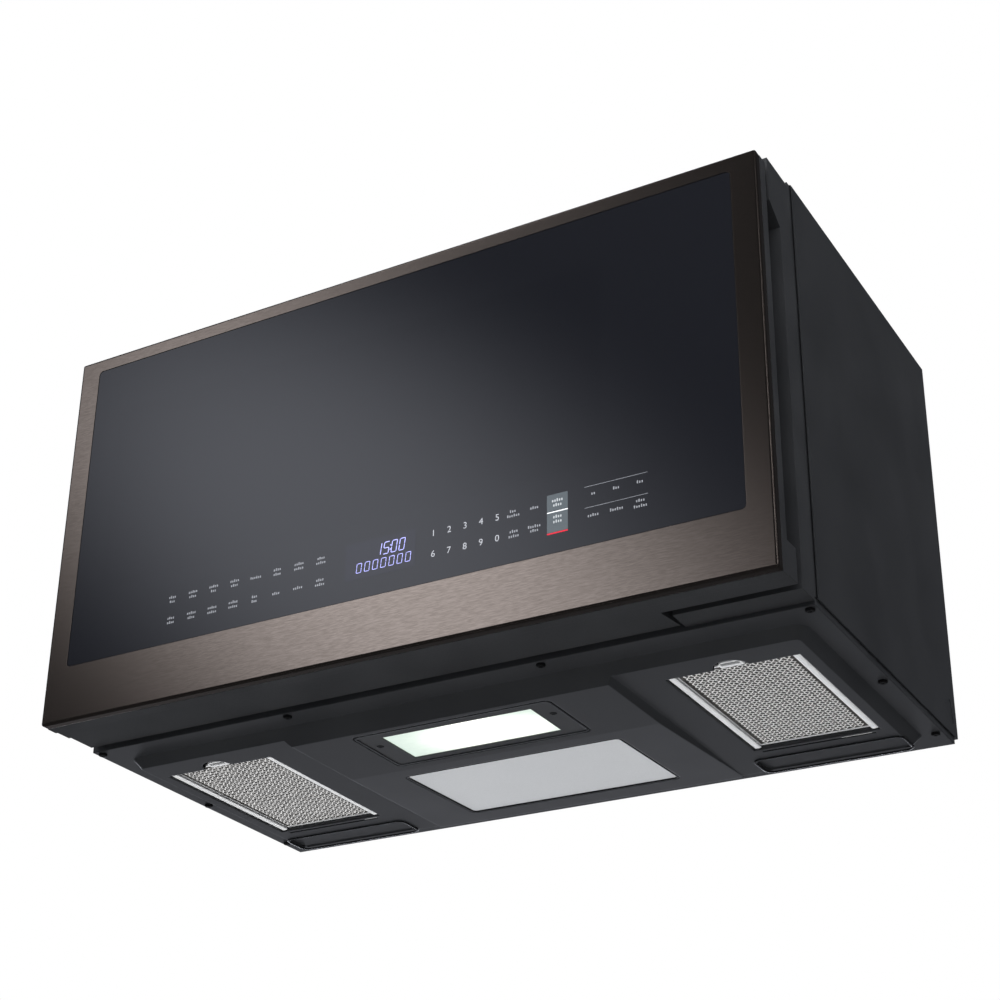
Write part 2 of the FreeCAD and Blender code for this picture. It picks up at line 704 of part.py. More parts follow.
def front_frame():
    """Moulded frame around the cavity mouth: hood above the door, corner block, rear collar."""
    frame = Body("front_frame")
    rail = door_foot + d.frame_rail
    foot = door_foot + d.foot_rise
    wall = d.frame_wall
    frame.pad("XZ", (frame_front, frame_back), [frame_outline(half_door, rail, foot, frame_top, 0)])
    hood_low = door_foot + d.hood_foot
    hood_front = face + d.hood_reach
    frame.pad("YZ", (-half_door, half_door), [rect(
        (hood_front, frame_front + wall / 2), (hood_low, frame_top)
    )])
    frame.pad("YZ", (box_end + d.frame_wall, half_door), [[
        (hood_front, hood_low + wall / 2), (hood_front, hood_low),
        (frame_front + wall / 2, hood_low - d.hood_slant),
        (frame_front + wall / 2, hood_low + wall / 2),
    ]])
    collar_top = cabinet_head - d.case_gauge - d.slip
    collar_foot = cabinet_foot + d.case_gauge + d.slip
    collar_side = half_door - d.slip
    frame.pad("XZ", (frame_back - wall, frame_back), [
        rect((-collar_side, collar_side), (frame_top - wall, collar_top)),
        rect((block_left, collar_side), (foot + wall / 2, collar_foot + wall)),
    ])
    collar_rail = rail + wall
    frame.pad("XZ", (frame_back - wall / 2, case_front + d.collar_reach), [
        frame_outline(collar_side, collar_rail, collar_foot, collar_top, 0),
        frame_outline(collar_side, collar_rail, collar_foot, collar_top, wall),
    ])
    frame.pocket("XZ", (frame_inner, frame_back + 1), [
        frame_outline(half_door, rail, foot + wall, frame_top, wall)
    ])
    frame.pocket("XZ", (hood_front + wall, frame_inner + 1), [rect(
        (-half_door + d.relief_width + wall, half_door - wall),
        (hood_low + wall, frame_top - wall),
    )])
    frame.pocket("XZ", (frame_front - 1, frame_inner + 1), [rect(
        (cavity_start, cavity_end), (cavity_low, cavity_high)
    )])
    frame.pocket("XY", (hood_low - d.hood_slant - 1, frame_top + 1), [rect(
        (-half_door - 1, -half_door + d.relief_width), (hood_front - 1, frame_front)
    )])
    hook = latch_span()
    slots = [
        rect(
            (hook[0] - d.hook_play, hook[1] + d.hook_play),
            (low - d.hook_nose - d.hook_play, low + d.hook_height + d.hook_travel + d.hook_play),
        )
        for low in (door_foot + d.hook_low, door_foot + d.hook_high)
    ]
    frame.pocket("XZ", (frame_front - 1, frame_inner + 1), slots)
    grille_x, grille_y = grille_opening()
    frame.pocket("XY", (frame_top - wall - 1, frame_top + 1), [rect(grille_x, grille_y)])
    node("front_frame", frame)


def frame_outline(side, rail, foot, top, inset):
    """Front view of the frame: a rectangle with a leg that reaches down at the right."""
    left = block_left + inset
    return [
        (-side + inset, rail + inset), (left, rail + inset), (left, foot + inset),
        (side - inset, foot + inset), (side - inset, top - inset), (-side + inset, top - inset),
    ]


def grille_opening():
    """The opening in the top of the hood that the vent grille fills."""
    x = (-half_door + d.grille_border, half_door - d.grille_border)
    y = (face + d.hood_reach + d.frame_wall + 3, frame_back - 6)
    return x, y


def vent_grille():
    """Slotted grille laid into the top of the hood from below."""
    grille = Body("vent_grille")
    opening_x, opening_y = grille_opening()
    seat = frame_top - d.frame_wall
    grille.pad("XY", (seat - 1.6, seat), [rect(grown(opening_x, 3), grown(opening_y, 2.5))])
    grille.pad("XY", (seat - 0.1, frame_top), [rect(
        grown(opening_x, -d.slip), grown(opening_y, -d.slip)
    )])
    rows = d.count("grille_rows")
    pitch_x = (opening_x[1] - opening_x[0]) / d.grille_columns
    pitch_y = (opening_y[1] - opening_y[0]) / rows
    slots = []
    for row in range(rows):
        middle = opening_y[0] + (row + 0.5) * pitch_y
        slots.append(rect(
            (opening_x[0] + pitch_x * 0.1, opening_x[0] + pitch_x * 0.9),
            (middle - d.grille_slot / 2, middle + d.grille_slot / 2),
        ))
    first = grille.pocket("XY", (seat - 3, frame_top + 1), slots)
    grille.linear(first, "X_Axis", pitch_x * (d.grille_columns - 1), d.grille_columns)
    node("vent_grille", grille)


def charcoal_filter():
    """Carbon filter that lies on the floor of the hood, behind the vent grille."""
    floor = door_foot + d.hood_foot + d.frame_wall + d.slip
    front = face + d.hood_reach + d.frame_wall + 1
    node("charcoal_filter", block(
        "charcoal_filter",
        (-half_door + d.charcoal_border, half_door - d.charcoal_border),
        (front, frame_back - 2),
        (floor, floor + d.charcoal_height),
    ))


# ---------------------------------------------------------------- base plate

def slope_height(y):
    """Height of the centre section's rear half, which rises from its bend to its end."""
    start = base_front + d.keel_bend
    return keel_face + (y - start) * d.keel_depth / (keel_back - start)


def pressed_form(name, lift):
    """The solid that the press pushes down: a low plateau, its deeper keel, pads and recesses."""
    form = Body(name)
    outer_x = (-base_side + d.press_side, base_side - d.press_side)
    outer_y = (base_front + d.press_front, base_rear - d.press_back)
    low_y = grown(outer_y, -d.press_slope)
    low = press_face + lift
    form.pad("XY", (low, low + d.press_slope + 0.5), [rect(outer_x, outer_y)])
    form.fillet(d.press_corner, "Z")
    doc.recompute()
    whole = form.body.Tip
    around = [
        f"Edge{number}"
        for number, edge in enumerate(whole.Shape.Edges, start=1)
        if edge.BoundBox.ZMax < float(low) + 0.01
    ]
    slope = form.body.newObject("PartDesign::Chamfer", "slope")
    slope.Base = (whole, around)
    bind(slope, "Size", d.press_slope)
    half_keel = d.keel_width / 2
    front_low = outer_y[0] + d.press_slope + d.keel_depth
    form.pad("YZ", (-half_keel, half_keel), [[
        (outer_y[0] + d.press_slope, press_face + lift), (front_low, keel_face + lift),
        (base_front + d.keel_bend, keel_face + lift),
        (keel_back, press_face + lift), (keel_back, press_face + lift + 2),
        (outer_y[0] + d.press_slope, press_face + lift + 2),
    ]])
    deep = d.keel_depth + 2
    form.pocket("XZ", (low_y[0] - 1, low_y[1] + 1), [
        [(side * half_keel, press_face + lift),
         (side * (half_keel - deep), press_face + lift - deep),
         (side * half_keel, press_face + lift - deep)]
        for side in (-1, 1)
    ])
    pad_back = base_rear - d.pad_back
    half_pad = d.pad_width / 2
    pads = [
        rect(
            grown((side * d.filter_offset - half_pad, side * d.filter_offset + half_pad), lift),
            grown((pad_back - d.pad_depth, pad_back), lift),
        )
        for side in (-1, 1)
    ]
    form.pocket("XY", (press_face + lift - 1, press_face + lift + d.pad_height), pads)
    recess_front = base_front + d.lamp_recess_front
    lamp_recess = rect(
        grown((-d.lamp_recess_width / 2, d.lamp_recess_width / 2), lift),
        grown((recess_front, recess_front + d.lamp_recess_depth), lift),
    )
    form.pocket("XY", (keel_face + lift - 1, keel_face + lift + d.recess_height), [lamp_recess])
    label_x = grown((-d.label_width / 2, d.label_width / 2), lift)
    outline = label_outline(lift, lift, -1, d.recess_height)
    form.pocket("YZ", label_x, [outline])
    corners = [*pads[0], *pads[1], *lamp_recess, *rect(label_x, (outline[0][0], outline[1][0]))]
    form.fillet(d.recess_corner, "Z", corners)
    return form


def label_outline(lift, grow, low, high):
    """Side view of a slab on the centre section's slope, between two heights above its face."""
    start = base_front + d.label_front - grow
    end = base_front + d.label_front + d.label_depth + grow
    return [
        (start, slope_height(start) + lift + low), (end, slope_height(end) + lift + low),
        (end, slope_height(end) + lift + high), (start, slope_height(start) + lift + high),
    ]


def filter_opening(side):
    """The hole in the base plate that one grease filter fills."""
    middle = side * d.filter_offset
    x = grown((middle - d.filter_width / 2, middle + d.filter_width / 2), d.filter_gap)
    front = base_front + d.filter_front
    y = grown((front, front + d.filter_length), d.filter_gap)
    return x, y


def base_screw_places():
    """The eight screws of the base plate, in plan."""
    front = base_front + d.screw_inset
    side = base_side - d.screw_inset
    inner = base_rear - base_front
    return [
        (-side, front), (side * -0.4, front), (side * 0.327, front), (side, front),
        (-side, base_front + inner / 2), (-side, base_rear - 36),
        (side, base_front + inner / 2), (side, base_rear - 36),
    ]


def base_plate():
    """Pressed steel base: a flange with raised edges around one deep form with two filter openings."""
    gauge = d.base_gauge
    flange_x = (-base_side, base_side)
    flange_y = (base_front, base_rear)
    flange = Body("base_flange")
    flange.pad("XY", (base_face, cabinet_foot), [rect(flange_x, flange_y)])
    flange.pocket("XY", (base_face + gauge, cabinet_foot + 1), [rect(
        grown(flange_x, -gauge), grown(flange_y, -gauge)
    )])
    apron_top = door_foot + d.frame_rail - d.slip
    flange.pad("XY", (cabinet_foot - 1, apron_top), [rect(
        (-base_side, block_left - d.slip), (base_front, base_front + gauge)
    )])
    outside = pressed_form("form_outside", Size("0", 0))
    inside = pressed_form("form_inside", gauge)
    parts = [outside, flange]
    walls = []
    holes = []
    top = press_face + d.filter_sink + d.filter_thickness + gauge
    for side in (-1, 1):
        x, y = filter_opening(side)
        walls.append(block("filter_wall", grown(x, gauge), grown(y, gauge), (press_face + gauge / 2, top)))
        holes.append(block("filter_hole", x, y, (press_face - 1, top + 1)))
        holes.append(rod(
            "thumb_notch", "Z", (side * d.filter_offset, y[0]),
            (press_face - 1, press_face + d.filter_sink + 1), d.thumb_radius,
        ))
        slot_y = y[1] + d.slot_gap
        middle = side * d.filter_offset
        holes.append(block(
            "rear_slot", (middle - d.slot_length / 2, middle + d.slot_length / 2),
            (slot_y, slot_y + d.slot_width), (press_face - 1, press_face + gauge + 1),
        ))
    lens_x = grown((-d.lens_width / 2, d.lens_width / 2), d.lens_lap + d.slip)
    front = base_front + d.lens_front
    lens_y = grown((front, front + d.lens_depth), d.lens_lap + d.slip)
    holes.append(block("lens_hole", lens_x, lens_y, (keel_face - 1, keel_face + 6)))
    for number, (x, y) in enumerate(base_screw_places()):
        holes.append(rod(f"screw_hole_{number}", "Z", (x, y), (base_face - 1, base_face + 2),
                         d.screw_radius))
    skin = cut("base_skin", fuse("base_pressed", *(item.body for item in parts)), inside.body)
    node("base_plate", cut("base_plate", fuse("base_whole", skin, *walls), *holes))


def label_plate():
    """Bare plate that lies in the recess of the centre section."""
    plate = Body("label_plate")
    seat = d.recess_height
    outline = label_outline(0, -d.slip, seat - d.label_gauge, seat)
    plate.pad("YZ", grown((-d.label_width / 2, d.label_width / 2), -d.slip), [outline])
    plate.fillet(d.recess_corner, "Z")
    node("label_plate", plate)


# ---------------------------------------------------------------- grease filters

def grease_filter(side, word):
    """Aluminium channel frame with a wire pull tab, and the mesh that it holds."""
    x, y = filter_opening(side)
    x = grown(x, -d.filter_gap)
    y = grown(y, -d.filter_gap)
    low = press_face + d.filter_sink
    span = (low, low + d.filter_thickness)
    middle = side * d.filter_offset
    frame = Body(f"filter_frame_{word}")
    frame.pad("XY", span, [rect(x, y)])
    hole_x = grown(x, -d.filter_border)
    hole_y = grown(y, -d.filter_end)
    frame.pocket("XY", (span[0] - 1, span[1] + 1), [rect(hole_x, hole_y)])
    half_tab = d.tab_width / 2
    tab_z = (low - d.tab_gauge, low + d.tab_gauge / 2)
    tab_front = y[0] - d.tab_reach
    frame.pad("XY", tab_z, [rect((middle - half_tab, middle + half_tab), (tab_front, hole_y[0]))])
    frame.fillet(half_tab * 0.6, "Z", [(middle - half_tab, tab_front), (middle + half_tab, tab_front)])
    band = d.tab_band
    frame.pocket("XY", (tab_z[0] - 1, tab_z[1] + 1), [rect(
        (middle - half_tab + band, middle + half_tab - band), (tab_front + band, y[0] - band / 2)
    )])
    node(f"filter_frame_{word}", frame)
    mesh_low = low + (d.filter_thickness - d.mesh_thickness) / 2
    node(f"filter_mesh_{word}", block(
        f"filter_mesh_{word}", hole_x, hole_y, (mesh_low, mesh_low + d.mesh_thickness)
    ))


# ---------------------------------------------------------------- cooktop lamp

def lamp():
    """Cover, lens, reflector housing and light board of the cooktop lamp."""
    front = base_front + d.lens_front
    window_x = (-d.lens_width / 2, d.lens_width / 2)
    window_y = (front, front + d.lens_depth)
    recess_front = base_front + d.lamp_recess_front
    cover = Body("lamp_cover")
    cover_z = (lens_foot - d.lamp_cover_gauge, lens_foot)
    cover.pad("XY", cover_z, [rect(
        grown((-d.lamp_recess_width / 2, d.lamp_recess_width / 2), -1),
        (recess_front + 1, recess_front + d.lamp_recess_depth - 1),
    )])
    cover.fillet(d.recess_corner, "Z")
    cover.pocket("XY", (cover_z[0] - 1, cover_z[1] + 1), [rect(window_x, window_y)],
                 [(place_, d.screw_radius) for place_ in lamp_screw_places()])
    node("lamp_cover", cover)
    lens_z = (lens_foot, lens_foot + d.lens_thickness)
    node("lamp_lens", block("lamp_lens", grown(window_x, d.lens_lap), grown(window_y, d.lens_lap), lens_z))
    housing_z = (lens_z[1], lens_z[1] + d.lamp_height)
    outer = block("lamp_shell", grown(window_x, d.lens_lap), grown(window_y, d.lens_lap), housing_z)
    inner = block("lamp_hollow", window_x, window_y, (housing_z[0] - 1, housing_z[1] - d.lamp_wall))
    flange = block("lamp_flange", grown(window_x, d.lens_lap + 6), grown(window_y, d.lens_lap + 4),
                   (lens_z[1], lens_z[1] + d.lamp_wall))
    node("lamp_housing", cut("lamp_housing", fuse("lamp_outer", outer, flange), inner))
    ceiling = housing_z[1] - d.lamp_wall
    board = block("lamp_strip", grown(window_x, -12), grown(window_y, -14),
                  (ceiling - d.board_thickness, ceiling))
    chips = []
    pitch = d.lens_width / 8
    for number in range(7):
        middle = window_x[0] + (number + 1) * pitch
        chips.append(block(
            f"lamp_chip_{number}", (middle - 2.5, middle + 2.5),
            (front + d.lens_depth / 2 - 2.5, front + d.lens_depth / 2 + 2.5),
            (ceiling - d.board_thickness - 1, ceiling - d.board_thickness + 0.1),
        ))
    node("lamp_board", fuse("lamp_board", board, *chips))


def lamp_screw_places():
    side = d.lens_width / 2 + (d.lamp_recess_width - d.lens_width) / 4
    row = base_front + d.lens_front + d.lens_depth * 0.3
    return [(-side, row), (side, row)]


# ---------------------------------------------------------------- door

def door_bezel():
    """Brushed steel surround, folded back on all four sides."""
    bezel = Body("door_bezel")
    gauge = d.steel_gauge
    outer_x = (-half_door, half_door)
    outer_z = (door_foot, door_head)
    bezel.pad("XZ", (face, face + d.steel_flange), [rect(outer_x, outer_z)])
    bezel.fillet(d.steel_round, "X", [(face, door_foot), (face, door_head)])
    bezel.fillet(d.steel_round, "Z", [(-half_door, face), (half_door, face)])
    bezel.pocket("XZ", (face + gauge, face + d.steel_flange + 1), [rect(
        grown(outer_x, -gauge), grown(outer_z, -gauge)
    )])
    glass_x, glass_z = glass_opening()
    bezel.pocket("XZ", (face - 1, face + gauge + 1), [rect(glass_x, glass_z)])
    bezel.fillet(d.glass_corner, "Y", rect(glass_x, glass_z))
    node("door_bezel", bezel)


def glass_opening():
    x = (-half_door + d.border_side, half_door - d.border_side)
    z = (door_foot + d.border_foot, door_head - d.border_top)
    return x, z


def door_glass():
    """Dark tempered glass that fills the opening of the surround."""
    glass = Body("door_glass")
    glass_x, glass_z = (grown(span, -d.glass_gap) for span in glass_opening())
    front = face + d.glass_sink
    glass.pad("XZ", (front, front + d.glass_thickness), [rect(glass_x, glass_z)])
    glass.fillet(d.glass_corner - d.glass_gap, "Y")
    node("door_glass", glass)


def window_spans():
    x0 = -half_door + d.window_left
    z0 = door_foot + d.window_foot
    return (x0, half_door - d.window_right), (z0, z0 + d.window_height)


def keys_spans():
    x = (-half_door + d.keys_left, half_door - d.keys_right)
    z = (door_foot + d.keys_foot, door_foot + d.keys_head)
    return x, z


def latch_span():
    """Side to side place of the latch hooks."""
    left = half_door - d.hook_right
    return (left, left + d.hook_thickness)


def door_frame():
    """Moulded frame of the door: rim, thick lower edge, control housing and hinge ears."""
    frame = Body("door_frame")
    inset = d.rim_inset
    rim_x = (-half_door + inset, half_door - inset)
    rim_z = (door_foot + inset, door_head - inset)
    glass_back = face + d.glass_sink + d.glass_thickness
    strip_front = face + d.steel_flange + d.shadow_gap
    core = d.steel_gauge + d.slip
    frame.pad("XZ", (glass_back, strip_front + 0.5), [rect(
        (-half_door + core, half_door - core), (door_foot + core, door_head - core)
    )])
    frame.pad("XZ", (strip_front, rim_back), [rect(rim_x, rim_z)])
    foot = door_foot + d.foot_rise
    frame.pad("XZ", (rim_back - 1, face + d.foot_depth), [rect(
        rim_x, (foot, door_foot + d.foot_height)
    )])
    trough_back = face + d.trough_depth
    trough_front = face + d.foot_depth
    trough_left = -half_door + d.trough_left_inset
    frame.pad("XY", (foot, door_foot + d.trough_height), [[
        (trough_left, trough_front - 1), (trough_end, trough_front - 1),
        (trough_end + d.trough_slant, trough_back), (trough_left, trough_back),
    ]])
    ear_top = upper_bracket_foot() - d.slip
    frame.pad("XY", (ear_top - d.ear_height, ear_top), [rect(
        (hinge_x - d.ear_radius, hinge_x + d.ear_radius),
        (rim_back - 1, hinge_y + d.ear_radius),
    )])
    frame.fillet(d.ear_radius - 0.5, "Z", [
        (hinge_x - d.ear_radius, hinge_y + d.ear_radius),
        (hinge_x + d.ear_radius, hinge_y + d.ear_radius),
    ])
    window_x, window_z = window_spans()
    frame.pocket("XZ", (glass_back - 1, rim_back + 1), [rect(window_x, window_z)])
    board_x, board_z = (grown(span, 1) for span in keys_spans())
    frame.pocket("XZ", (glass_back - 1, rim_back - d.web), [rect(board_x, board_z)])
    frame.pocket("XZ", (glass_back + d.web, rim_back + 1), [rect(
        (window_x[1] + d.web, box_end - d.choke_border), (window_z[0], window_z[1])
    )])
    wall = d.trough_wall
    frame.pocket("XY", (foot + wall, door_foot + d.trough_height + 1), [rect(
        (hinge_x + 30, trough_end - wall), (trough_front + wall, trough_back - wall)
    )])
    bore = d.pin_radius + d.pin_slack
    frame.pocket("XY", (ear_top - d.ear_height - 1, ear_top + 1),
                 circles=[((hinge_x, hinge_y), bore)])
    lower_top = door_foot + d.foot_height
    frame.pocket("XY", (lower_top - d.pin_reach - 1, lower_top + 1),
                 circles=[((hinge_x, hinge_y), bore)])
    node("door_frame", frame)


def upper_bracket_foot():
    return door_foot + d.box_head + 2


def lower_bracket_foot():
    return door_foot + d.foot_height + d.slip


def inner_panel():
    """Pressed inner door with the choke channel around its edge."""
    panel = Body("inner_panel")
    gauge = d.panel_gauge
    outer_x = (box_start, box_end)
    outer_z = (box_low, box_high)
    panel.pad("XZ", (rim_back, panel_back), [rect(outer_x, outer_z)])
    pan_x = grown(outer_x, -d.choke_border)
    pan_z = grown(outer_z, -d.choke_border)
    panel.pocket("XZ", (rim_back - 1, panel_back - gauge), [rect(pan_x, pan_z)])
    margin = (d.choke_border - d.choke_width) / 2
    panel.pocket("XZ", (panel_back - d.choke_depth, panel_back + 1), [
        rect(grown(outer_x, -margin), grown(outer_z, -margin)),
        rect(grown(outer_x, -margin - d.choke_width), grown(outer_z, -margin - d.choke_width)),
    ])
    window_x, window_z = window_spans()
    panel.pocket("XZ", (panel_back - gauge - 1, panel_back + 1), [
        rect(grown(window_x, -10), grown(window_z, -10))
    ])
    hook_x = grown(latch_span(), d.hook_play)
    panel.pocket("XZ", (panel_back - gauge - 1, panel_back + 1), [
        rect(hook_x, (low - d.hook_nose - d.hook_play, low + d.hook_height + d.hook_travel + d.hook_play))
        for low in (door_foot + d.hook_low, door_foot + d.hook_high)
    ])
    shelf = latch_bar_top() + d.spring_length + d.slip
    panel.pad("XZ", (panel_back - gauge - d.hook_bar_depth, panel_back - gauge + 0.5), [rect(
        hook_x, (shelf, shelf + 2)
    )])
    node("inner_panel", panel)


def choke_cover():
    """Plastic ring that closes the choke channel, face to face with the inner panel."""
    cover = Body("choke_cover")
    outer = (box_start + 0.5, box_end - 0.5), (box_low + 0.5, box_high - 0.5)
    inner = d.choke_border - 2
    cover.pad("XZ", (panel_back, box_back), [
        rect(*outer),
        rect((box_start + inner, box_end - inner), (box_low + inner, box_high - inner)),
    ])
    node("choke_cover", cover)


def door_windows():
    """Perforated screen inside the panel and the clear pane on its cavity side."""
    window_x, window_z = window_spans()
    inside = panel_back - d.panel_gauge
    screen = Body("door_screen")
    screen_x = grown(window_x, -1)
    screen_z = grown(window_z, -1)
    screen.pad("XZ", (inside - d.screen_gauge, inside), [rect(screen_x, screen_z)])
    rows = d.count("screen_rows")
    half = d.screen_opening / 2
    pitch_x = (screen_x[1] - screen_x[0] - 40) / d.screen_columns
    pitch_z = (screen_z[1] - screen_z[0] - 32) / rows
    x = screen_x[0] + 20 + pitch_x / 2
    openings = []
    for row in range(rows):
        z = screen_z[0] + 16 + (row + 0.5) * pitch_z
        openings.append([(x - half, z), (x, z - half), (x + half, z), (x, z + half)])
    first = screen.pocket("XZ", (inside - d.screen_gauge - 1, inside + 1), openings)
    screen.linear(first, "X_Axis", pitch_x * (d.screen_columns - 1), d.screen_columns)
    node("door_screen", screen)
    node("inner_pane", block(
        "inner_pane", grown(window_x, 4), (panel_back, panel_back + d.inner_pane_thickness),
        grown(window_z, 4),
    ))


def door_boards():
    """Touch board behind the glass, display module and the control board in the housing."""
    glass_back = face + d.glass_sink + d.glass_thickness
    keys_x, keys_z = keys_spans()
    show_x = (-half_door + d.display_left, -half_door + d.display_left + d.display_width)
    show_z = (door_foot + d.display_foot, door_foot + d.display_foot + d.display_height)
    board = Body("touch_board")
    board_y = (glass_back, glass_back + d.board_thickness)
    board.pad("XZ", board_y, [rect(keys_x, keys_z)])
    board.pocket("XZ", (board_y[0] - 1, board_y[1] + 1), [rect(
        grown(show_x, d.slip), grown(show_z, d.slip)
    )])
    node("touch_board", board)
    display = Body("display_module")
    display.pad("XZ", (glass_back, glass_back + d.display_depth), [rect(show_x, show_z)])
    display.pad("XZ", (board_y[1], board_y[1] + 2), [rect(grown(show_x, 4), grown(show_z, 3))])
    node("display_module", display)
    foot = door_foot + d.foot_rise + d.trough_wall
    middle_y = face + (d.foot_depth + d.trough_depth) / 2
    board_x = (-d.controller_width / 2 - 60, d.controller_width / 2 - 60)
    pieces = [block(
        "controller_board", board_x,
        (middle_y - d.controller_depth / 2, middle_y + d.controller_depth / 2),
        (foot, foot + d.board_thickness),
    )]
    for number, (share, width, tall) in enumerate(
        ((0.12, 16, 14), (0.3, 10, 18), (0.5, 22, 12), (0.72, 10, 16), (0.88, 14, 11))
    ):
        x = board_x[0] + d.controller_width * share
        pieces.append(block(
            f"controller_part_{number}", (x - width / 2, x + width / 2),
            (middle_y - 6, middle_y + 6),
            (foot + d.board_thickness - 0.1, foot + d.board_thickness + tall),
        ))
    node("control_board", fuse("control_board", *pieces))


# ---------------------------------------------------------------- hinges and latch

def hinges():
    """Two brackets on the front frame; a pin in each points down into the door frame."""
    pins = []
    brackets = []
    for word, low in (("upper", upper_bracket_foot()), ("lower", lower_bracket_foot())):
        bracket = Body(f"hinge_bracket_{word}")
        plate_x = (hinge_x - d.bracket_width / 4, hinge_x + d.bracket_width * 3 / 4)
        thick = d.bracket_gauge
        bracket.pad("XY", (low, low + thick), [rect(plate_x, (hinge_y - 6, frame_front))])
        bracket.pad("XZ", (frame_front - thick, frame_front), [rect(
            plate_x, (low + thick / 2, low + thick + d.bracket_lap)
        )])
        bracket.pocket("XY", (low - 1, low + thick + 1), circles=[((hinge_x, hinge_y), d.pin_radius)])
        bracket.fillet(3, "Z", [(plate_x[0], hinge_y - 6), (plate_x[1], hinge_y - 6)])
        brackets.append(bracket.body)
        pins.append(fuse(
            f"{word}_pin",
            rod("pin", "Z", (hinge_x, hinge_y), (low - d.pin_reach, low + thick + 0.1), d.pin_radius),
            rod("pin_rivet", "Z", (hinge_x, hinge_y), (low + thick, low + thick + d.pin_head),
                d.pin_radius + 1.5),
        ))
    node("hinge_brackets", group("hinge_brackets", brackets))
    node("hinge_pins", group("hinge_pins", pins))


def latch_bar_top():
    return door_foot + d.hook_high + d.hook_height + 4


def latch():
    """Bar with two hooks that reach through the inner panel, and the spring that holds it down."""
    hooks = Body("latch_hooks")
    back = panel_back - d.panel_gauge - d.slip
    front = back - d.hook_bar_depth
    low = door_foot + d.hook_low
    high = door_foot + d.hook_high
    tip = face + d.hook_reach
    outline = [(front, low - 12), (back, low - 12)]
    for foot in (low, high):
        outline += [
            (back, foot), (tip - 8, foot), (tip - 6, foot - d.hook_nose), (tip - 3, foot - d.hook_nose),
            (tip, foot + d.hook_height * 0.4), (tip - 3, foot + d.hook_height),
            (back, foot + d.hook_height),
        ]
    outline += [(back, latch_bar_top()), (front, latch_bar_top())]
    hooks.pad("YZ", latch_span(), [outline])
    node("latch_hooks", hooks)
    span = latch_span()
    middle = ((span[0] + span[1]) / 2, (front + back) / 2)
    wire = float(d.spring_wire)
    foot = float(latch_bar_top()) + float(d.slip) / 2 + wire
    length = float(d.spring_length) - 2 * wire
    turns = d.count("spring_turns")
    coil_radius = float(d.spring_radius)
    helix = Part.makeHelix(length / turns, length, coil_radius)
    section = Part.makePolygon([
        FreeCAD.Vector(coil_radius + wire * u, 0, wire * v)
        for u, v in ((-1, -1), (1, -1), (1, 1), (-1, 1), (-1, -1))
    ])
    coil = Part.Wire(helix).makePipeShell([section], True, True)
    spring = doc.addObject("Part::Feature", "latch_spring")
    spring.Shape = coil
    place(spring, middle[0], middle[1], foot)
    node("latch_spring", spring)


def latch_board():
    """Bracket behind the frame that the hooks enter, with ledges, and its interlock switches."""
    span = latch_span()
    low = door_foot + d.hook_low
    high = door_foot + d.hook_high
    board = Body("latch_board")
    board.pad("XZ", (frame_inner, frame_inner + 3), [rect(
        (span[0] - 12, span[1] + 14), (low - 24, high + 34)
    )])
    wall_x = (span[1] + 9, span[1] + 12)
    board.pad("YZ", wall_x, [rect((frame_inner, frame_inner + 24), (low - 24, high + 34))])
    for foot in (low, high):
        ledge = foot - d.hook_nose - d.slip
        board.pad("XY", (ledge - 4, ledge), [rect(
            (span[0] - 2, wall_x[0] + 0.5), (frame_inner + 1, frame_inner + 18)
        )])
    board.pocket("XZ", (frame_inner - 1, frame_inner + 4), [
        rect(grown(span, d.hook_play),
             (foot - d.hook_nose - d.slip, foot + d.hook_height + d.hook_travel + d.hook_play))
        for foot in (low, high)
    ])
    node("latch_board", board)
    switches = []
    for number, z in enumerate((low + 30, (low + high) / 2, high - 44)):
        body = block(f"switch_{number}", (wall_x[1], wall_x[1] + 10), (frame_inner + 3.5, frame_inner + 19.5),
                     (z, z + 28))
        tags = [
            block(f"switch_tag_{number}_{share}", (wall_x[1] + 4, wall_x[1] + 5),
                  (frame_inner + 19, frame_inner + 26), (z + share, z + share + 5))
            for share in (4, 19)
        ]
        switches.append(fuse(f"interlock_switch_{number}", body, *tags))
    node("interlock_switches", group("interlock_switches", switches))


# ---------------------------------------------------------------- oven

def guide_spans():
    """Mouth of the waveguide on the cavity's right wall: front to back and foot to head."""
    y = (-d.guide_setback, -d.guide_setback + d.guide_length)
    z = (door_foot + d.guide_rise, door_foot + d.guide_rise + d.guide_height)
    return y, z


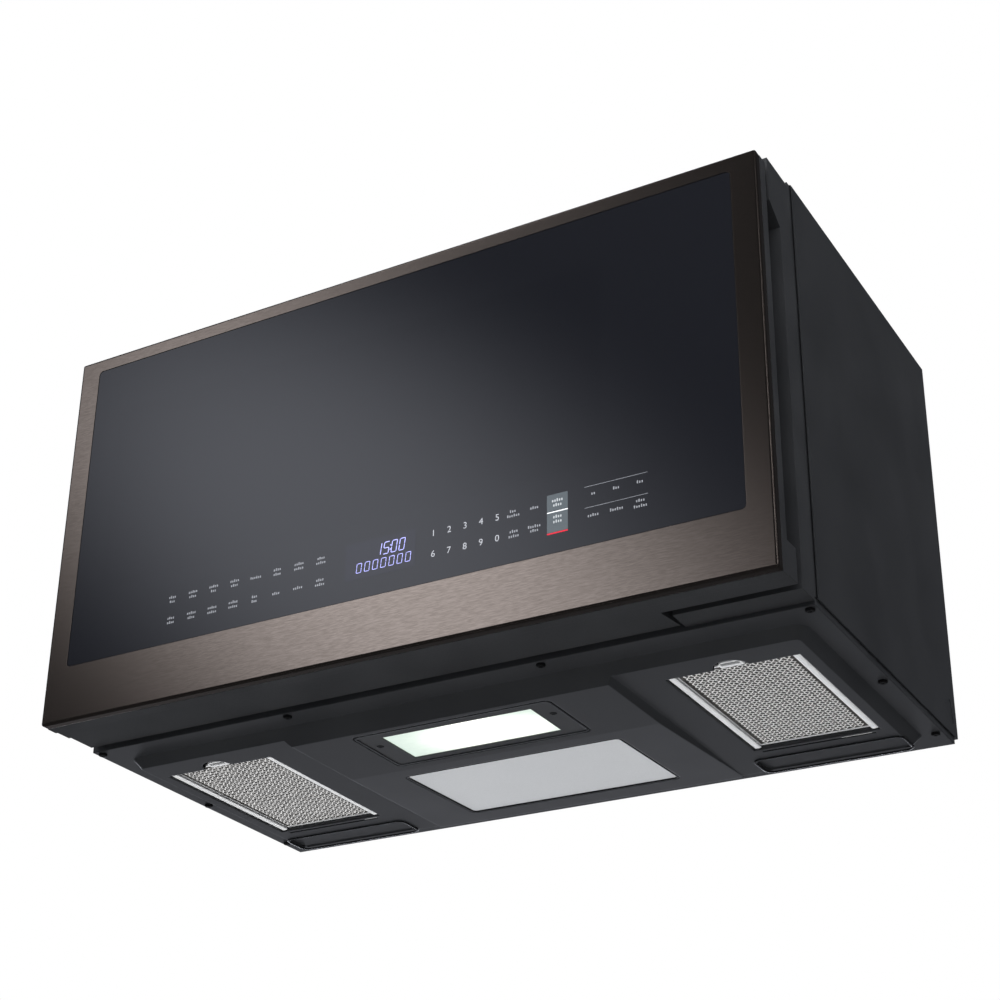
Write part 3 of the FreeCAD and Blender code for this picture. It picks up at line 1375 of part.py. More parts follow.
def oven_cavity():
    """Welded steel box, open at the front, with its lip, port, lamp holes and fan holes."""
    oven = Body("oven_cavity")
    gauge = d.cavity_gauge
    x = (cavity_start, cavity_end)
    z = (cavity_low, cavity_high)
    oven.pad("XZ", (cavity_front, cavity_back + gauge), [rect(grown(x, gauge), grown(z, gauge))])
    oven.pad("XZ", (cavity_front, cavity_front + gauge), [rect(
        grown(x, d.cavity_lip), grown(z, d.cavity_lip)
    )])
    oven.pocket("XZ", (cavity_front - 1, cavity_back), [rect(x, z)])
    guide_y, guide_z = guide_spans()
    side_wall = (cavity_end - 1, cavity_end + gauge + 1)
    oven.pocket("YZ", side_wall, [rect(grown(guide_y, -8), grown(guide_z, -8))])
    lamp_y = cavity_front + 60
    lamp_z = cavity_high - 60
    oven.pocket("YZ", side_wall, [
        rect(
            (lamp_y + (column - 0.25) * d.lamp_pitch, lamp_y + (column + 0.25) * d.lamp_pitch),
            (lamp_z + (row - 0.25) * d.lamp_pitch, lamp_z + (row + 0.25) * d.lamp_pitch),
        )
        for column in range(-1, 2) for row in range(-1, 2)
    ])
    oven.pocket("XY", (cavity_low - gauge - 1, cavity_low + 1), circles=[
        ((table_x, table_y), d.stem_radius + 2)
    ])
    fan_x, fan_z = convection_axis()
    back_wall = (cavity_back - 1, cavity_back + gauge + 1)
    pitch = d.fan_slot_pitch
    intake = [
        rect(
            (fan_x - reach, fan_x + reach),
            (fan_z + row * pitch - pitch / 4, fan_z + row * pitch + pitch / 4),
        )
        for row, reach in (
            (row, d.fan_intake * round(math.cos(math.radians(22.5 * row)), 6)) for row in range(-3, 4)
        )
    ]
    outlet = d.convector_width / 2 - d.fan_outlet_inset
    oven.pocket("XZ", back_wall, intake + [
        rect(
            (fan_x + side * outlet - pitch / 2, fan_x + side * outlet + pitch / 2),
            (fan_z + row * 2 * pitch - pitch / 4, fan_z + row * 2 * pitch + pitch / 4),
        )
        for side in (-1, 1) for row in range(-3, 4)
    ])
    node("oven_cavity", oven)
    node("waveguide_cover", block(
        "waveguide_cover", (cavity_end - 1.5, cavity_end), grown(guide_y, 4), grown(guide_z, 4)
    ))
    lamp_box = block("cavity_lamp_box", (cavity_end + gauge, cavity_end + gauge + 26),
                     (lamp_y - 16, lamp_y + 16), (lamp_z - 16, lamp_z + 16))
    lamp_hollow = block("cavity_lamp_hollow", (cavity_end, cavity_end + gauge + 24),
                        (lamp_y - 14.5, lamp_y + 14.5), (lamp_z - 14.5, lamp_z + 14.5))
    lamp_bulb = rod("cavity_bulb", "X", (lamp_y, lamp_z), (cavity_end + 8, cavity_end + gauge + 25), 7)
    node("cavity_lamp", fuse("cavity_lamp", cut("cavity_lamp_case", lamp_box, lamp_hollow), lamp_bulb))


def turntable():
    """Motor under the floor, coupler, roller ring with its three rollers, and the glass tray."""
    floor = cavity_low
    under = floor - d.cavity_gauge
    centre = (table_x, table_y)
    motor_low = under - d.motor_height
    motor = cut(
        "turntable_motor",
        fuse("motor_body",
             rod("motor_can", "Z", centre, (motor_low, under), d.motor_radius),
             block("motor_ears", (table_x - d.motor_radius - 9, table_x + d.motor_radius + 9),
                   (table_y - 7, table_y + 7), (under - 2, under))),
        rod("motor_bore", "Z", centre, (under - d.stem_reach - 0.5, under + 1),
            d.stem_radius + d.stem_slack),
    )
    node("turntable_motor", motor)
    tray_low = floor + 2 * d.roller_radius + 2 * d.floor_gap
    hub_top = tray_low - d.floor_gap
    coupler = Body("turntable_coupler")
    coupler.pad("XY", (floor + 1, hub_top), circles=[(centre, d.hub_radius)])
    coupler.pad("XY", (under - d.stem_reach, floor + 2), circles=[(centre, d.stem_radius)])
    wing = d.hub_lobe / 2
    reach = d.hub_radius + d.hub_lobe
    coupler.pad("XY", (hub_top - 5, hub_top), [rect(
        (table_x - reach, table_x + reach), (table_y - wing, table_y + wing)
    )])
    node("turntable_coupler", coupler)
    tray = Body("glass_tray")
    thick = d.tray_thickness
    radius = d.tray_radius
    zero = Size("0", 0)
    tray.revolve(centre, [
        (zero, tray_low), (radius - 20, tray_low), (radius, tray_low + d.tray_rim),
        (radius, tray_low + d.tray_rim + thick * 0.6), (radius - 4, tray_low + d.tray_rim + thick * 0.6),
        (radius - 21, tray_low + thick), (zero, tray_low + thick),
    ])
    node("glass_tray", tray)
    roller_z = floor + d.roller_radius + d.floor_gap
    inner = d.roller_circle - d.roller_width / 2 - d.ring_section - 1
    ring = cut(
        "ring_band",
        rod("ring_outer", "Z", centre, (roller_z - d.ring_section / 2, roller_z + d.ring_section / 2),
            inner + d.ring_section),
        rod("ring_inner", "Z", centre, (roller_z - d.ring_section, roller_z + d.ring_section), inner),
    )
    axles = []
    for number in range(3):
        angle = 120 * number
        turn = FreeCAD.Rotation(FreeCAD.Vector(0, 0, 1), angle).multiply(TURNS["X"])
        cosine = round(math.cos(math.radians(angle)), 6)
        sine = round(math.sin(math.radians(angle)), 6)
        axle_start = inner + d.ring_section / 2
        axle = doc.addObject("Part::Cylinder", f"axle_{number}")
        bind(axle, "Radius", d.axle_radius)
        bind(axle, "Height", d.roller_circle + d.roller_width / 2 + 1.5 - axle_start)
        place(axle, table_x + axle_start * cosine, table_y + axle_start * sine, roller_z, turn)
        axles.append(axle)
        start = d.roller_circle - d.roller_width / 2
        wheel = doc.addObject("Part::Cylinder", f"roller_rim_{number}")
        bind(wheel, "Radius", d.roller_radius)
        bind(wheel, "Height", d.roller_width)
        place(wheel, table_x + start * cosine, table_y + start * sine, roller_z, turn)
        bore = doc.addObject("Part::Cylinder", f"roller_bore_{number}")
        bind(bore, "Radius", d.axle_radius + d.axle_slack)
        bind(bore, "Height", d.roller_width + 2)
        place(bore, table_x + (start - 1) * cosine, table_y + (start - 1) * sine, roller_z, turn)
        node(f"roller_{number + 1}", cut(f"roller_{number + 1}", wheel, bore))
    node("roller_ring", fuse("roller_ring", ring, *axles))


def convection_axis():
    return table_x, (cavity_low + cavity_high) / 2


def bladed_wheel(name, centre, front, radius, depth, hub, blades):
    """Fan of flat blades on a disc, turning about an axis that runs front to back."""
    wheel = Body(name)
    wheel.pad("XY", (Size("0", 0), d.fan_sheet), circles=[((Size("0", 0), Size("0", 0)), radius)])
    wheel.pad("XY", (Size("0", 0), depth), circles=[((Size("0", 0), Size("0", 0)), hub)])
    blade = wheel.pad("XY", (d.fan_sheet / 2, depth), [rect(
        (hub * 1.8, radius - 0.5), (-d.fan_sheet / 2, d.fan_sheet / 2)
    )])
    wheel.polar(blade, "Z_Axis", blades)
    place(wheel.body, centre[0], front, centre[1], TURNS["Y"])
    return wheel


def convection_unit():
    """Housing, ring heater, fan and motor behind the cavity."""
    fan_x, fan_z = convection_axis()
    start = cavity_back + d.cavity_gauge
    end = start + d.convector_depth
    x = (fan_x - d.convector_width / 2, fan_x + d.convector_width / 2)
    z = (fan_z - d.convector_height / 2, fan_z + d.convector_height / 2)
    housing = Body("convection_housing")
    housing.pad("XZ", (start, end), [rect(x, z)])
    housing.pad("XZ", (start, start + 1), [rect(grown(x, 8), grown(z, 8))])
    housing.pocket("XZ", (start - 1, end - 1), [rect(grown(x, -1), grown(z, -1))])
    housing.pocket("XZ", (end - 2, end + 1), circles=[((fan_x, fan_z), d.shaft_radius + 2)])
    node("convection_housing", housing)
    heater = Body("heater_ring")
    zero = Size("0", 0)
    tube = d.heater_tube
    flat = tube * 0.5
    heater.revolve((zero, zero), [
        (d.heater_radius + u, v) for u, v in (
            (tube, zero), (flat, tube), (-flat, tube), (-tube, zero), (-flat, -tube), (flat, -tube),
        )
    ])
    heater_y = end - 1 - tube - 6
    place(heater.body, fan_x, heater_y, fan_z, TURNS["Y"])
    leads = [
        rod("heater_lead", "Y", (fan_x + offset, fan_z - d.heater_radius), (heater_y, end - 1), tube)
        for offset in (-14, 14)
    ]
    node("convection_heater", fuse("convection_heater", heater.body, *leads))
    depth = d.convection_fan_depth
    fan_back = end - 1 - 3
    fan = bladed_wheel("convection_wheel", (fan_x, fan_z), fan_back - depth,
                       d.convection_fan_radius, depth, Size("9", 9), 10)
    motor_front = end
    shaft = rod("convection_shaft", "Y", (fan_x, fan_z), (fan_back - 1, motor_front + 10), d.shaft_radius)
    node("convection_fan", fuse("convection_fan", fan.body, shaft))
    motor = cut(
        "convection_motor",
        fuse("convection_motor_body",
             rod("convection_can", "Y", (fan_x, fan_z), (motor_front, motor_front + d.convection_motor_depth),
                 d.convection_motor_radius),
             block("convection_strap", (fan_x - 50, fan_x + 50), (motor_front, motor_front + 2),
                   (fan_z - 12, fan_z + 12))),
        rod("convection_bore", "Y", (fan_x, fan_z), (motor_front - 1, motor_front + 11),
            d.shaft_radius + d.shaft_slack),
    )
    node("convection_motor", motor)


# ---------------------------------------------------------------- electronics

def compartment_start():
    return cavity_end + d.cavity_gauge


def component_tray():
    """Tray between the electronics and the air duct below them, hung on the cavity's wall."""
    start = compartment_start()
    end = half_cabinet - d.case_gauge - d.slip
    low = door_foot + d.shelf_rise
    gauge = d.shelf_gauge
    tray = Body("component_tray")
    tray.pad("XZ", (case_front + d.collar_reach + 1, -d.back_lip - 2), [[
        (start, low), (end, low), (end, low + 14), (end - gauge, low + 14), (end - gauge, low + gauge),
        (start + gauge, low + gauge), (start + gauge, low + 20), (start, low + 20),
    ]])
    node("component_tray", tray)


def transformer():
    """Laminated core with its two windings, standing on the tray."""
    low = door_foot + d.shelf_rise + d.shelf_gauge
    start = compartment_start() + 30
    front = -d.transformer_setback
    core = Body("transformer_core")
    x = (start, start + d.transformer_width)
    y = (front, front + d.transformer_depth)
    core.pad("XZ", y, [rect(x, (low, low + d.transformer_height))])
    third = d.transformer_width / 6
    core.pocket("XZ", (front - 1, y[1] + 1), [
        rect((x[0] + third, x[0] + 2 * third), (low + third, low + d.transformer_height - third)),
        rect((x[1] - 2 * third, x[1] - third), (low + third, low + d.transformer_height - third)),
    ])
    foot = block("transformer_foot", grown(x, 6), grown(y, -8), (low, low + 1.5))
    coil_x = (x[0] + third * 1.1, x[1] - third * 1.1)
    coils = []
    half = (d.transformer_height - 2 * third) / 2
    for number in range(2):
        z0 = low + third + half * number + 2
        coils.append(block(f"winding_{number}", coil_x, grown(y, d.winding_bulge), (z0, z0 + half - 4)))
    node("transformer", fuse("transformer", core.body, foot, *coils))


def capacitor():
    """Oval high voltage capacitor with two blade terminals, standing on the tray."""
    low = door_foot + d.shelf_rise + d.shelf_gauge
    start = compartment_start() + 40
    front = -d.capacitor_setback
    can = Body("capacitor_can")
    x = (start, start + d.capacitor_width)
    y = (front, front + d.capacitor_depth)
    can.pad("XY", (low, low + d.capacitor_height), [rect(x, y)])
    can.fillet(d.capacitor_depth / 2 - 0.2, "Z")
    middle = front + d.capacitor_depth / 2
    tags = [
        block(f"capacitor_tag_{number}", (tag_x - 3, tag_x + 3), (middle - 0.4, middle + 0.4),
              (low + d.capacitor_height - 0.5, low + d.capacitor_height + 10))
        for number, tag_x in enumerate((start + 16, start + 36))
    ]
    node("capacitor", fuse("capacitor", can.body, *tags))


def magnetron():
    """Waveguide on the cavity wall and the magnetron with its cooling fins."""
    guide_y, guide_z = guide_spans()
    start = compartment_start()
    end = start + d.guide_depth
    outer = block("guide_outer", (start, end), guide_y, guide_z)
    flange = block("guide_flange", (start, start + 1.2), grown(guide_y, 8), grown(guide_z, 8))
    hollow = block("guide_hollow", (start - 1, end - 1.2), grown(guide_y, -1.2), grown(guide_z, -1.2))
    middle_y = (guide_y[0] + guide_y[1]) / 2
    middle_z = (guide_z[0] + guide_z[1]) / 2
    port = rod("guide_port", "X", (middle_y, middle_z), (end - 3, end + 1), 13)
    node("waveguide", cut("waveguide", fuse("guide_shell", outer, flange), hollow, port))
    half = d.magnetron_side / 2
    case_x = (end, end + d.magnetron_width)
    case_y = (middle_y - half, middle_y + half)
    case_z = (middle_z - half, middle_z + half)
    shell = Body("magnetron_shell")
    shell.pad("XZ", case_y, [rect(case_x, case_z)])
    shell.pocket("XZ", grown(case_y, 1), [rect(grown(case_x, -2), grown(case_z, -2))])
    core = half / 2
    anode = block("magnetron_anode", case_x, (middle_y - core, middle_y + core),
                  (middle_z - core, middle_z + core))
    antenna = rod("magnetron_antenna", "X", (middle_y, middle_z), (end - 14, end + 4), 8)
    fins = Body("magnetron_fin_row")
    gap = d.magnetron_width / (d.magnetron_fins + 1)
    fin = fins.pad("YZ", (case_x[0] + gap - 0.4, case_x[0] + gap + 0.4), [rect(
        grown(case_y, -1), grown(case_z, -1)
    )])
    fins.linear(fin, "X_Axis", gap * (d.magnetron_fins - 1), d.magnetron_fins)
    box = block("magnetron_filter_box", case_x, (case_y[0] + 12, case_y[1] - 12),
                (case_z[0] - 26, case_z[0] + 1))
    node("magnetron", fuse("magnetron", shell.body, anode, antenna, fins.body, box))


def cooling_fan():
    """Fan that cools the magnetron: bracket with its opening, wheel and motor."""
    start = compartment_start()
    end = half_cabinet - d.case_gauge - d.slip
    fan_x = (start + end) / 2
    fan_z = door_foot + d.cooling_fan_rise
    front = -d.cooling_fan_setback
    back = front + d.cooling_fan_depth
    opening = d.cooling_fan_radius + d.tip_gap
    bracket = Body("fan_bracket")
    bracket.pad("XZ", (front + 6, front + 7.5), [rect(
        (start, end), (fan_z - opening - 14, fan_z + opening + 14)
    )])
    bracket.pocket("XZ", (front + 5, front + 9), circles=[((fan_x, fan_z), opening)])
    arm_y = back + 6
    pieces = [bracket.body]
    for side in (-1, 1):
        post_x = fan_x + side * (opening + 5)
        pieces.append(block("fan_post", (post_x - 3, post_x + 3), (front + 7, arm_y + 2), (fan_z - 6, fan_z + 6)))
    arm = block("fan_arm", (fan_x - opening - 8, fan_x + opening + 8), (arm_y, arm_y + 2), (fan_z - 6, fan_z + 6))
    ring = rod("fan_arm_hole", "Y", (fan_x, fan_z), (arm_y - 1, arm_y + 3), d.shaft_radius + 1)
    pieces.append(cut("fan_arm_bored", arm, ring))
    node("fan_bracket", fuse("fan_bracket", *pieces))
    fan = Body("cooling_wheel")
    zero = Size("0", 0)
    fan.pad("XY", (zero, d.cooling_fan_depth), circles=[((zero, zero), Size("14", 14))])
    blade = fan.pad("XZ", (Size("10", 10), d.cooling_fan_radius), [[
        (-8 + zero, 1 + zero), (-6.6 + zero, 1 + zero),
        (8 + zero, d.cooling_fan_depth - 1), (6.6 + zero, d.cooling_fan_depth - 1),
    ]])
    fan.polar(blade, "Z_Axis", 5)
    place(fan.body, fan_x, front, fan_z, TURNS["Y"])
    motor_y = (arm_y + 2, arm_y + 2 + 26)
    shaft = rod("cooling_shaft", "Y", (fan_x, fan_z), (back - 2, motor_y[0] + 12), d.shaft_radius)
    node("cooling_fan", fuse("cooling_fan", fan.body, shaft))
    half = d.cooling_motor_side / 2
    core = block("cooling_core", (fan_x - half, fan_x + half), motor_y, (fan_z - half, fan_z + half))
    bore = rod("cooling_bore", "Y", (fan_x, fan_z), (motor_y[0] - 1, motor_y[0] + 13),
               d.shaft_radius + d.shaft_slack)
    coil = block("cooling_coil", (fan_x - half + 6, fan_x + half - 6),
                 grown((motor_y[0] + 6, motor_y[1]), 5), (fan_z - half - 8, fan_z - half + 6))
    node("cooling_fan_motor", cut("cooling_fan_motor", fuse("cooling_motor_body", core, coil), bore))


def noise_filter():
    """Mains filter board on posts at the rear plate."""
    side = d.noise_filter_side
    start = compartment_start() + 40
    low = door_foot + d.noise_filter_rise
    back = -d.back_gauge
    board_y = (back - 10 - d.board_thickness, back - 10)
    pieces = [block("filter_board", (start, start + side), board_y, (low, low + side))]
    for x in (start + 5, start + side - 5):
        for z in (low + 5, low + side - 5):
            pieces.append(block("filter_post", (x - 2.5, x + 2.5), (board_y[1] - 0.2, back),
                                (z - 2.5, z + 2.5)))
    pieces.append(rod("filter_choke", "Y", (start + 24, low + 40), (board_y[0] - 16, board_y[0] + 0.2), 14))
    pieces.append(block("filter_fuse", (start + 44, start + 60), (board_y[0] - 12, board_y[0] + 0.2),
                        (low + 14, low + 50)))
    node("noise_filter", fuse("noise_filter", *pieces))


# ---------------------------------------------------------------- hood blower

def blower():
    """Double blower: scroll housing that opens upward, two wheels on one shaft, and the motor."""
    axis_y = -d.blower_setback
    axis_z = cabinet_head - d.blower_axis_drop
    radius = d.wheel_radius + d.scroll_gap
    wall = d.scroll_wall
    half = d.blower_width / 2
    mouth_top = cabinet_head - d.case_gauge - d.slip
    foot_z = cavity_high + d.cavity_gauge
    mouth = (axis_y - radius, axis_y + radius)
    shell = fuse(
        "scroll_shell",
        rod("scroll_drum", "X", (axis_y, axis_z), (-half, half), radius + wall),
        block("scroll_mouth", (-half, half), (mouth[0] - wall, mouth[1] + wall), (axis_z, mouth_top)),
        block("blower_foot", (-half, half), (axis_y - 14, axis_y - 4), (foot_z, axis_z)),
        block("blower_foot_rear", (-half, half), (axis_y + 4, axis_y + 14), (foot_z, axis_z)),
    )
    inside = (-half + wall, half - wall)
    hollow = fuse(
        "scroll_hollow",
        rod("scroll_air", "X", (axis_y, axis_z), inside, radius),
        block("scroll_throat", inside, mouth, (axis_z, mouth_top + 1)),
        rod("scroll_inlet", "X", (axis_y, axis_z), (-half - 1, half + 1), d.wheel_radius - d.blade_depth),
    )
    node("blower_housing", cut("blower_housing", shell, hollow))
    motor_half = d.blower_motor_width / 2
    can = rod("blower_can", "X", (axis_y, axis_z), (-motor_half, motor_half), d.blower_motor_radius)
    saddle = block("blower_saddle", (-motor_half + 8, motor_half - 8), (axis_y - 12, axis_y + 12),
                   (axis_z - radius + 2, axis_z - d.blower_motor_radius / 2))
    bore = rod("blower_bore", "X", (axis_y, axis_z), (-motor_half - 1, motor_half + 1),
               d.shaft_radius + d.shaft_slack)
    node("blower_motor", cut("blower_motor", fuse("blower_motor_body", can, saddle), bore))
    pieces = [rod("blower_shaft", "X", (axis_y, axis_z), (-half + 14, half - 14), d.shaft_radius)]
    for side, word in ((-1, "left"), (1, "right")):
        wheel = Body(f"blower_wheel_{word}")
        zero = Size("0", 0)
        centre = (zero, zero)
        width = d.wheel_width
        rim = d.wheel_radius
        inner = rim - d.blade_depth
        wheel.pad("XY", (zero, d.fan_sheet), circles=[(centre, rim)])
        wheel.pad("XY", (zero, Size("14", 14)), circles=[(centre, Size("8", 8))])
        blade = wheel.pad("XY", (d.fan_sheet / 2, width - 1), [[
            (inner, -1 + zero), (inner, zero), (rim - 0.3, 4 + zero), (rim - 0.3, 3 + zero),
        ]])
        wheel.polar(blade, "Z_Axis", d.wheel_blades)
        wheel.pad("XY", (width - 2, width), circles=[(centre, rim), (centre, inner)])
        turn = TURNS["X"] if side > 0 else FreeCAD.Rotation(FreeCAD.Vector(0, 1, 0), -90)
        place(wheel.body, side * (motor_half + 8), axis_y, axis_z, turn)
        pieces.append(wheel.body)
    node("blower_wheels", fuse("blower_wheels", *pieces))


def build():
    cabinet_wrap()
    back_plate()
    cord_gland()
    front_frame()
    vent_grille()
    charcoal_filter()
    base_plate()
    label_plate()
    grease_filter(-1, "left")
    grease_filter(1, "right")
    lamp()
    door_bezel()
    door_glass()
    door_frame()
    inner_panel()
    choke_cover()
    door_windows()
    door_boards()
    hinges()
    latch()
    latch_board()
    oven_cavity()
    turntable()
    convection_unit()
    component_tray()
    transformer()
    capacitor()
    magnetron()
    cooling_fan()
    noise_filter()
    blower()


def write_nodes():
    """Check every object of the document, then write each sub-part to its own file."""
    doc.recompute()
    for item in doc.Objects:
        if "Invalid" in item.State or "Error" in item.State:
            raise ValueError(f"{item.Label}: {item.State}")
    os.makedirs("parts", exist_ok=True)
    for name, item in NODES.items():
        shape = item.Shape
        if shape.isNull() or not shape.isValid() or not shape.Solids:
            raise ValueError(f"{name}: no valid solid")
        shape.exportStep(os.path.join("parts", f"{name}.step"))
        print(f"{name}: {len(shape.Solids)} solids, {shape.Volume / 1000:.1f} cm3")


build()
write_nodes()
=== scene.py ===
"""Looks of an over the range microwave: its finishes, small fittings and studio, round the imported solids."""

import math

import bmesh
import bpy
from bpy.props import FloatProperty, FloatVectorProperty, PointerProperty
from mathutils import Matrix, Vector


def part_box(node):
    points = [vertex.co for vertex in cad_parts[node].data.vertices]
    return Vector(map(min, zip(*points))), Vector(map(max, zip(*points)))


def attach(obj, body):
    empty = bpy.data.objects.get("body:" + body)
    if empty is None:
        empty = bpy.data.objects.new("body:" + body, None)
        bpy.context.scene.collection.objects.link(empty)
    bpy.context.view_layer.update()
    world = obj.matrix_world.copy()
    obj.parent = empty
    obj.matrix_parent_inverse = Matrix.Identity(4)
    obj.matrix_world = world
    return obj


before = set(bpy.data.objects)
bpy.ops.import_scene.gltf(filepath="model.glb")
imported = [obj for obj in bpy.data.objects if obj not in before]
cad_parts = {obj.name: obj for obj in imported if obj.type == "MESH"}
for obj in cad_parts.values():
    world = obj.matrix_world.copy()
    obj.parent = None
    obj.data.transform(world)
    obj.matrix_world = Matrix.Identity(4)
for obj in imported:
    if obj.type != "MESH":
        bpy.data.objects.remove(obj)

bl_info = {
    "name": "Over the Range Microwave",
    "version": (1, 0, 0),
    "blender": (4, 5, 0),
    "location": "View3D > Sidebar > Microwave",
    "description": "Finishes, screws, key marks, filter meshes and studio of an over the range microwave",
    "category": "Add Mesh",
}

MM = 0.001


def linear(code):
    """Turns an sRGB hex colour into linear red, green and blue."""
    shares = [int(code[place:place + 2], 16) / 255 for place in (0, 2, 4)]
    return tuple(s / 12.92 if s <= 0.04045 else ((s + 0.055) / 1.055) ** 2.4 for s in shares)


def opaque(colour):
    """A colour with full alpha, as the shaders' sockets take it."""
    return (*colour[:3], 1.0)


# ---------------------------------------------------------------- sizes and colours

class MicrowaveSizes(bpy.types.PropertyGroup):
    """Sizes of the fittings that dress the microwave."""

    screw_head: FloatProperty(
        name="Screw head", description="Width of the pan heads under the base plate",
        default=8.6 * MM, min=4 * MM, max=12 * MM, unit="LENGTH")
    screw_crown: FloatProperty(
        name="Screw crown", description="Height of the pan heads",
        default=2.4 * MM, min=1 * MM, max=4 * MM, unit="LENGTH")
    flush_head: FloatProperty(
        name="Lamp screw head", description="Width of the countersunk heads in the lamp cover",
        default=7.2 * MM, min=4 * MM, max=10 * MM, unit="LENGTH")
    mesh_cell_x: FloatProperty(
        name="Mesh cell length", description="Long way of one diamond of the filter mesh",
        default=7.2 * MM, min=2 * MM, max=12 * MM, unit="LENGTH")
    mesh_cell_y: FloatProperty(
        name="Mesh cell width", description="Short way of one diamond of the filter mesh",
        default=6.4 * MM, min=1.5 * MM, max=8 * MM, unit="LENGTH")
    numeral_height: FloatProperty(
        name="Numeral height", description="Height of the printed numerals",
        default=6.4 * MM, min=3 * MM, max=12 * MM, unit="LENGTH")
    clock_height: FloatProperty(
        name="Clock height", description="Height of the clock's figures",
        default=11.4 * MM, min=6 * MM, max=16 * MM, unit="LENGTH")
    floor_drop: FloatProperty(
        name="Floor drop", description="How far the studio floor lies under the origin",
        default=2.6, min=0.9, max=4.0, unit="LENGTH")


class MicrowaveColours(bpy.types.PropertyGroup):
    """Colours of the microwave's finishes."""

    steel: FloatVectorProperty(
        name="Brushed steel", description="Light tone of the coated steel surround",
        default=linear("9a8e84"), size=3, min=0, max=1, subtype="COLOR")
    steel_groove: FloatVectorProperty(
        name="Steel grooves", description="Dark tone between the brush lines",
        default=linear("887d73"), size=3, min=0, max=1, subtype="COLOR")
    glass: FloatVectorProperty(
        name="Door glass", description="Back print of the door glass",
        default=linear("131418"), size=3, min=0, max=1, subtype="COLOR")
    window: FloatVectorProperty(
        name="Door window", description="The part of the glass over the window",
        default=linear("121317"), size=3, min=0, max=1, subtype="COLOR")
    paint: FloatVectorProperty(
        name="Case paint", description="Satin black paint of the case and base plate",
        default=linear("202123"), size=3, min=0, max=1, subtype="COLOR")
    plastic: FloatVectorProperty(
        name="Frame plastic", description="Grained plastic of the door's frame and the front frame",
        default=linear("222325"), size=3, min=0, max=1, subtype="COLOR")
    display: FloatVectorProperty(
        name="Display", description="Glow of the clock's figures",
        default=linear("a9aaf0"), size=3, min=0, max=1, subtype="COLOR")
    print_grey: FloatVectorProperty(
        name="Key print", description="Print of the numerals and key marks",
        default=linear("a2a4a9"), size=3, min=0, max=1, subtype="COLOR")


# ---------------------------------------------------------------- modelling helpers

def alone(piece):
    """Leaves one object selected and active, in object mode."""
    if bpy.context.mode != "OBJECT":
        bpy.ops.object.mode_set(mode="OBJECT")
    bpy.ops.object.select_all(action="DESELECT")
    piece.select_set(True)
    bpy.context.view_layer.objects.active = piece
    return piece


def fresh(kind, name, **sizes):
    """Adds a primitive with nothing else selected, and names it."""
    bpy.ops.object.select_all(action="DESELECT")
    getattr(bpy.ops.mesh, f"primitive_{kind}_add")(**sizes)
    piece = bpy.context.object
    piece.name = name
    bpy.ops.object.transform_apply(location=True, rotation=True, scale=True)
    return piece


def choose(piece, kind, test):
    """Goes into edit mode and selects the verts, edges or faces that pass a test."""
    alone(piece)
    bpy.ops.object.mode_set(mode="EDIT")
    bpy.ops.mesh.select_mode(type={"verts": "VERT", "edges": "EDGE", "faces": "FACE"}[kind])
    bpy.ops.mesh.select_all(action="DESELECT")
    form = bmesh.from_edit_mesh(piece.data)
    for part in getattr(form, kind):
        if test(part):
            part.select_set(True)
    bmesh.update_edit_mesh(piece.data)


def leave():
    """Goes back to object mode."""
    bpy.ops.object.mode_set(mode="OBJECT")


def apply_modifier(piece, kind, **options):
    """Adds a modifier with its options and applies it."""
    alone(piece)
    added = piece.modifiers.new(kind.title(), kind)
    for name, value in options.items():
        setattr(added, name, value)
    bpy.ops.object.modifier_apply(modifier=added.name)


def copy_to(piece, name, at, turn=(0, 0, 0)):
    """A copy with its own mesh, turned and put in place."""
    other = piece.copy()
    other.data = piece.data.copy()
    other.name = name
    bpy.context.collection.objects.link(other)
    other.location = at
    other.rotation_euler = turn
    return other


def joined(pieces, name):
    """Joins like pieces into one."""
    bpy.ops.object.select_all(action="DESELECT")
    for piece in pieces:
        piece.select_set(True)
    bpy.context.view_layer.objects.active = pieces[0]
    bpy.ops.object.transform_apply(location=True, rotation=True, scale=True)
    bpy.ops.object.join()
    whole = bpy.context.object
    whole.name = name
    return whole


def settled(piece, body, finish):
    """Puts a finished piece's place into its mesh, paints it and lets it ride on its body."""
    alone(piece)
    bpy.ops.object.transform_apply(location=True, rotation=True, scale=True)
    piece.data.name = piece.name
    piece.data.materials.clear()
    piece.data.materials.append(finish)
    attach(piece, body)
    return piece


def paint_nodes(finish, *names):
    """Gives CAD nodes a finish."""
    for name in names:
        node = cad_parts[name]
        if not node.material_slots:
            node.data.materials.append(finish)
        for place in node.material_slots:
            place.material = finish


# ---------------------------------------------------------------- finishes

def add(tree, kind, sockets=None, **options):
    """Adds a shader node with its options, and fills or links its sockets."""
    made = tree.nodes.new(f"ShaderNode{kind}")
    for name, value in options.items():
        setattr(made, name, value)
    for name, value in (sockets or {}).items():
        if isinstance(value, bpy.types.Node):
            value = next(socket for socket in value.outputs if socket.enabled)
        if isinstance(value, bpy.types.NodeSocket):
            tree.links.new(value, made.inputs[name])
        else:
            made.inputs[name].default_value = value
    return made


def new_finish(name):
    """An empty finish: its material, its node tree and the place on the object."""
    made = bpy.data.materials.new(name)
    made.use_nodes = True
    tree = made.node_tree
    tree.nodes.clear()
    return made, tree, add(tree, "TexCoord").outputs["Object"]


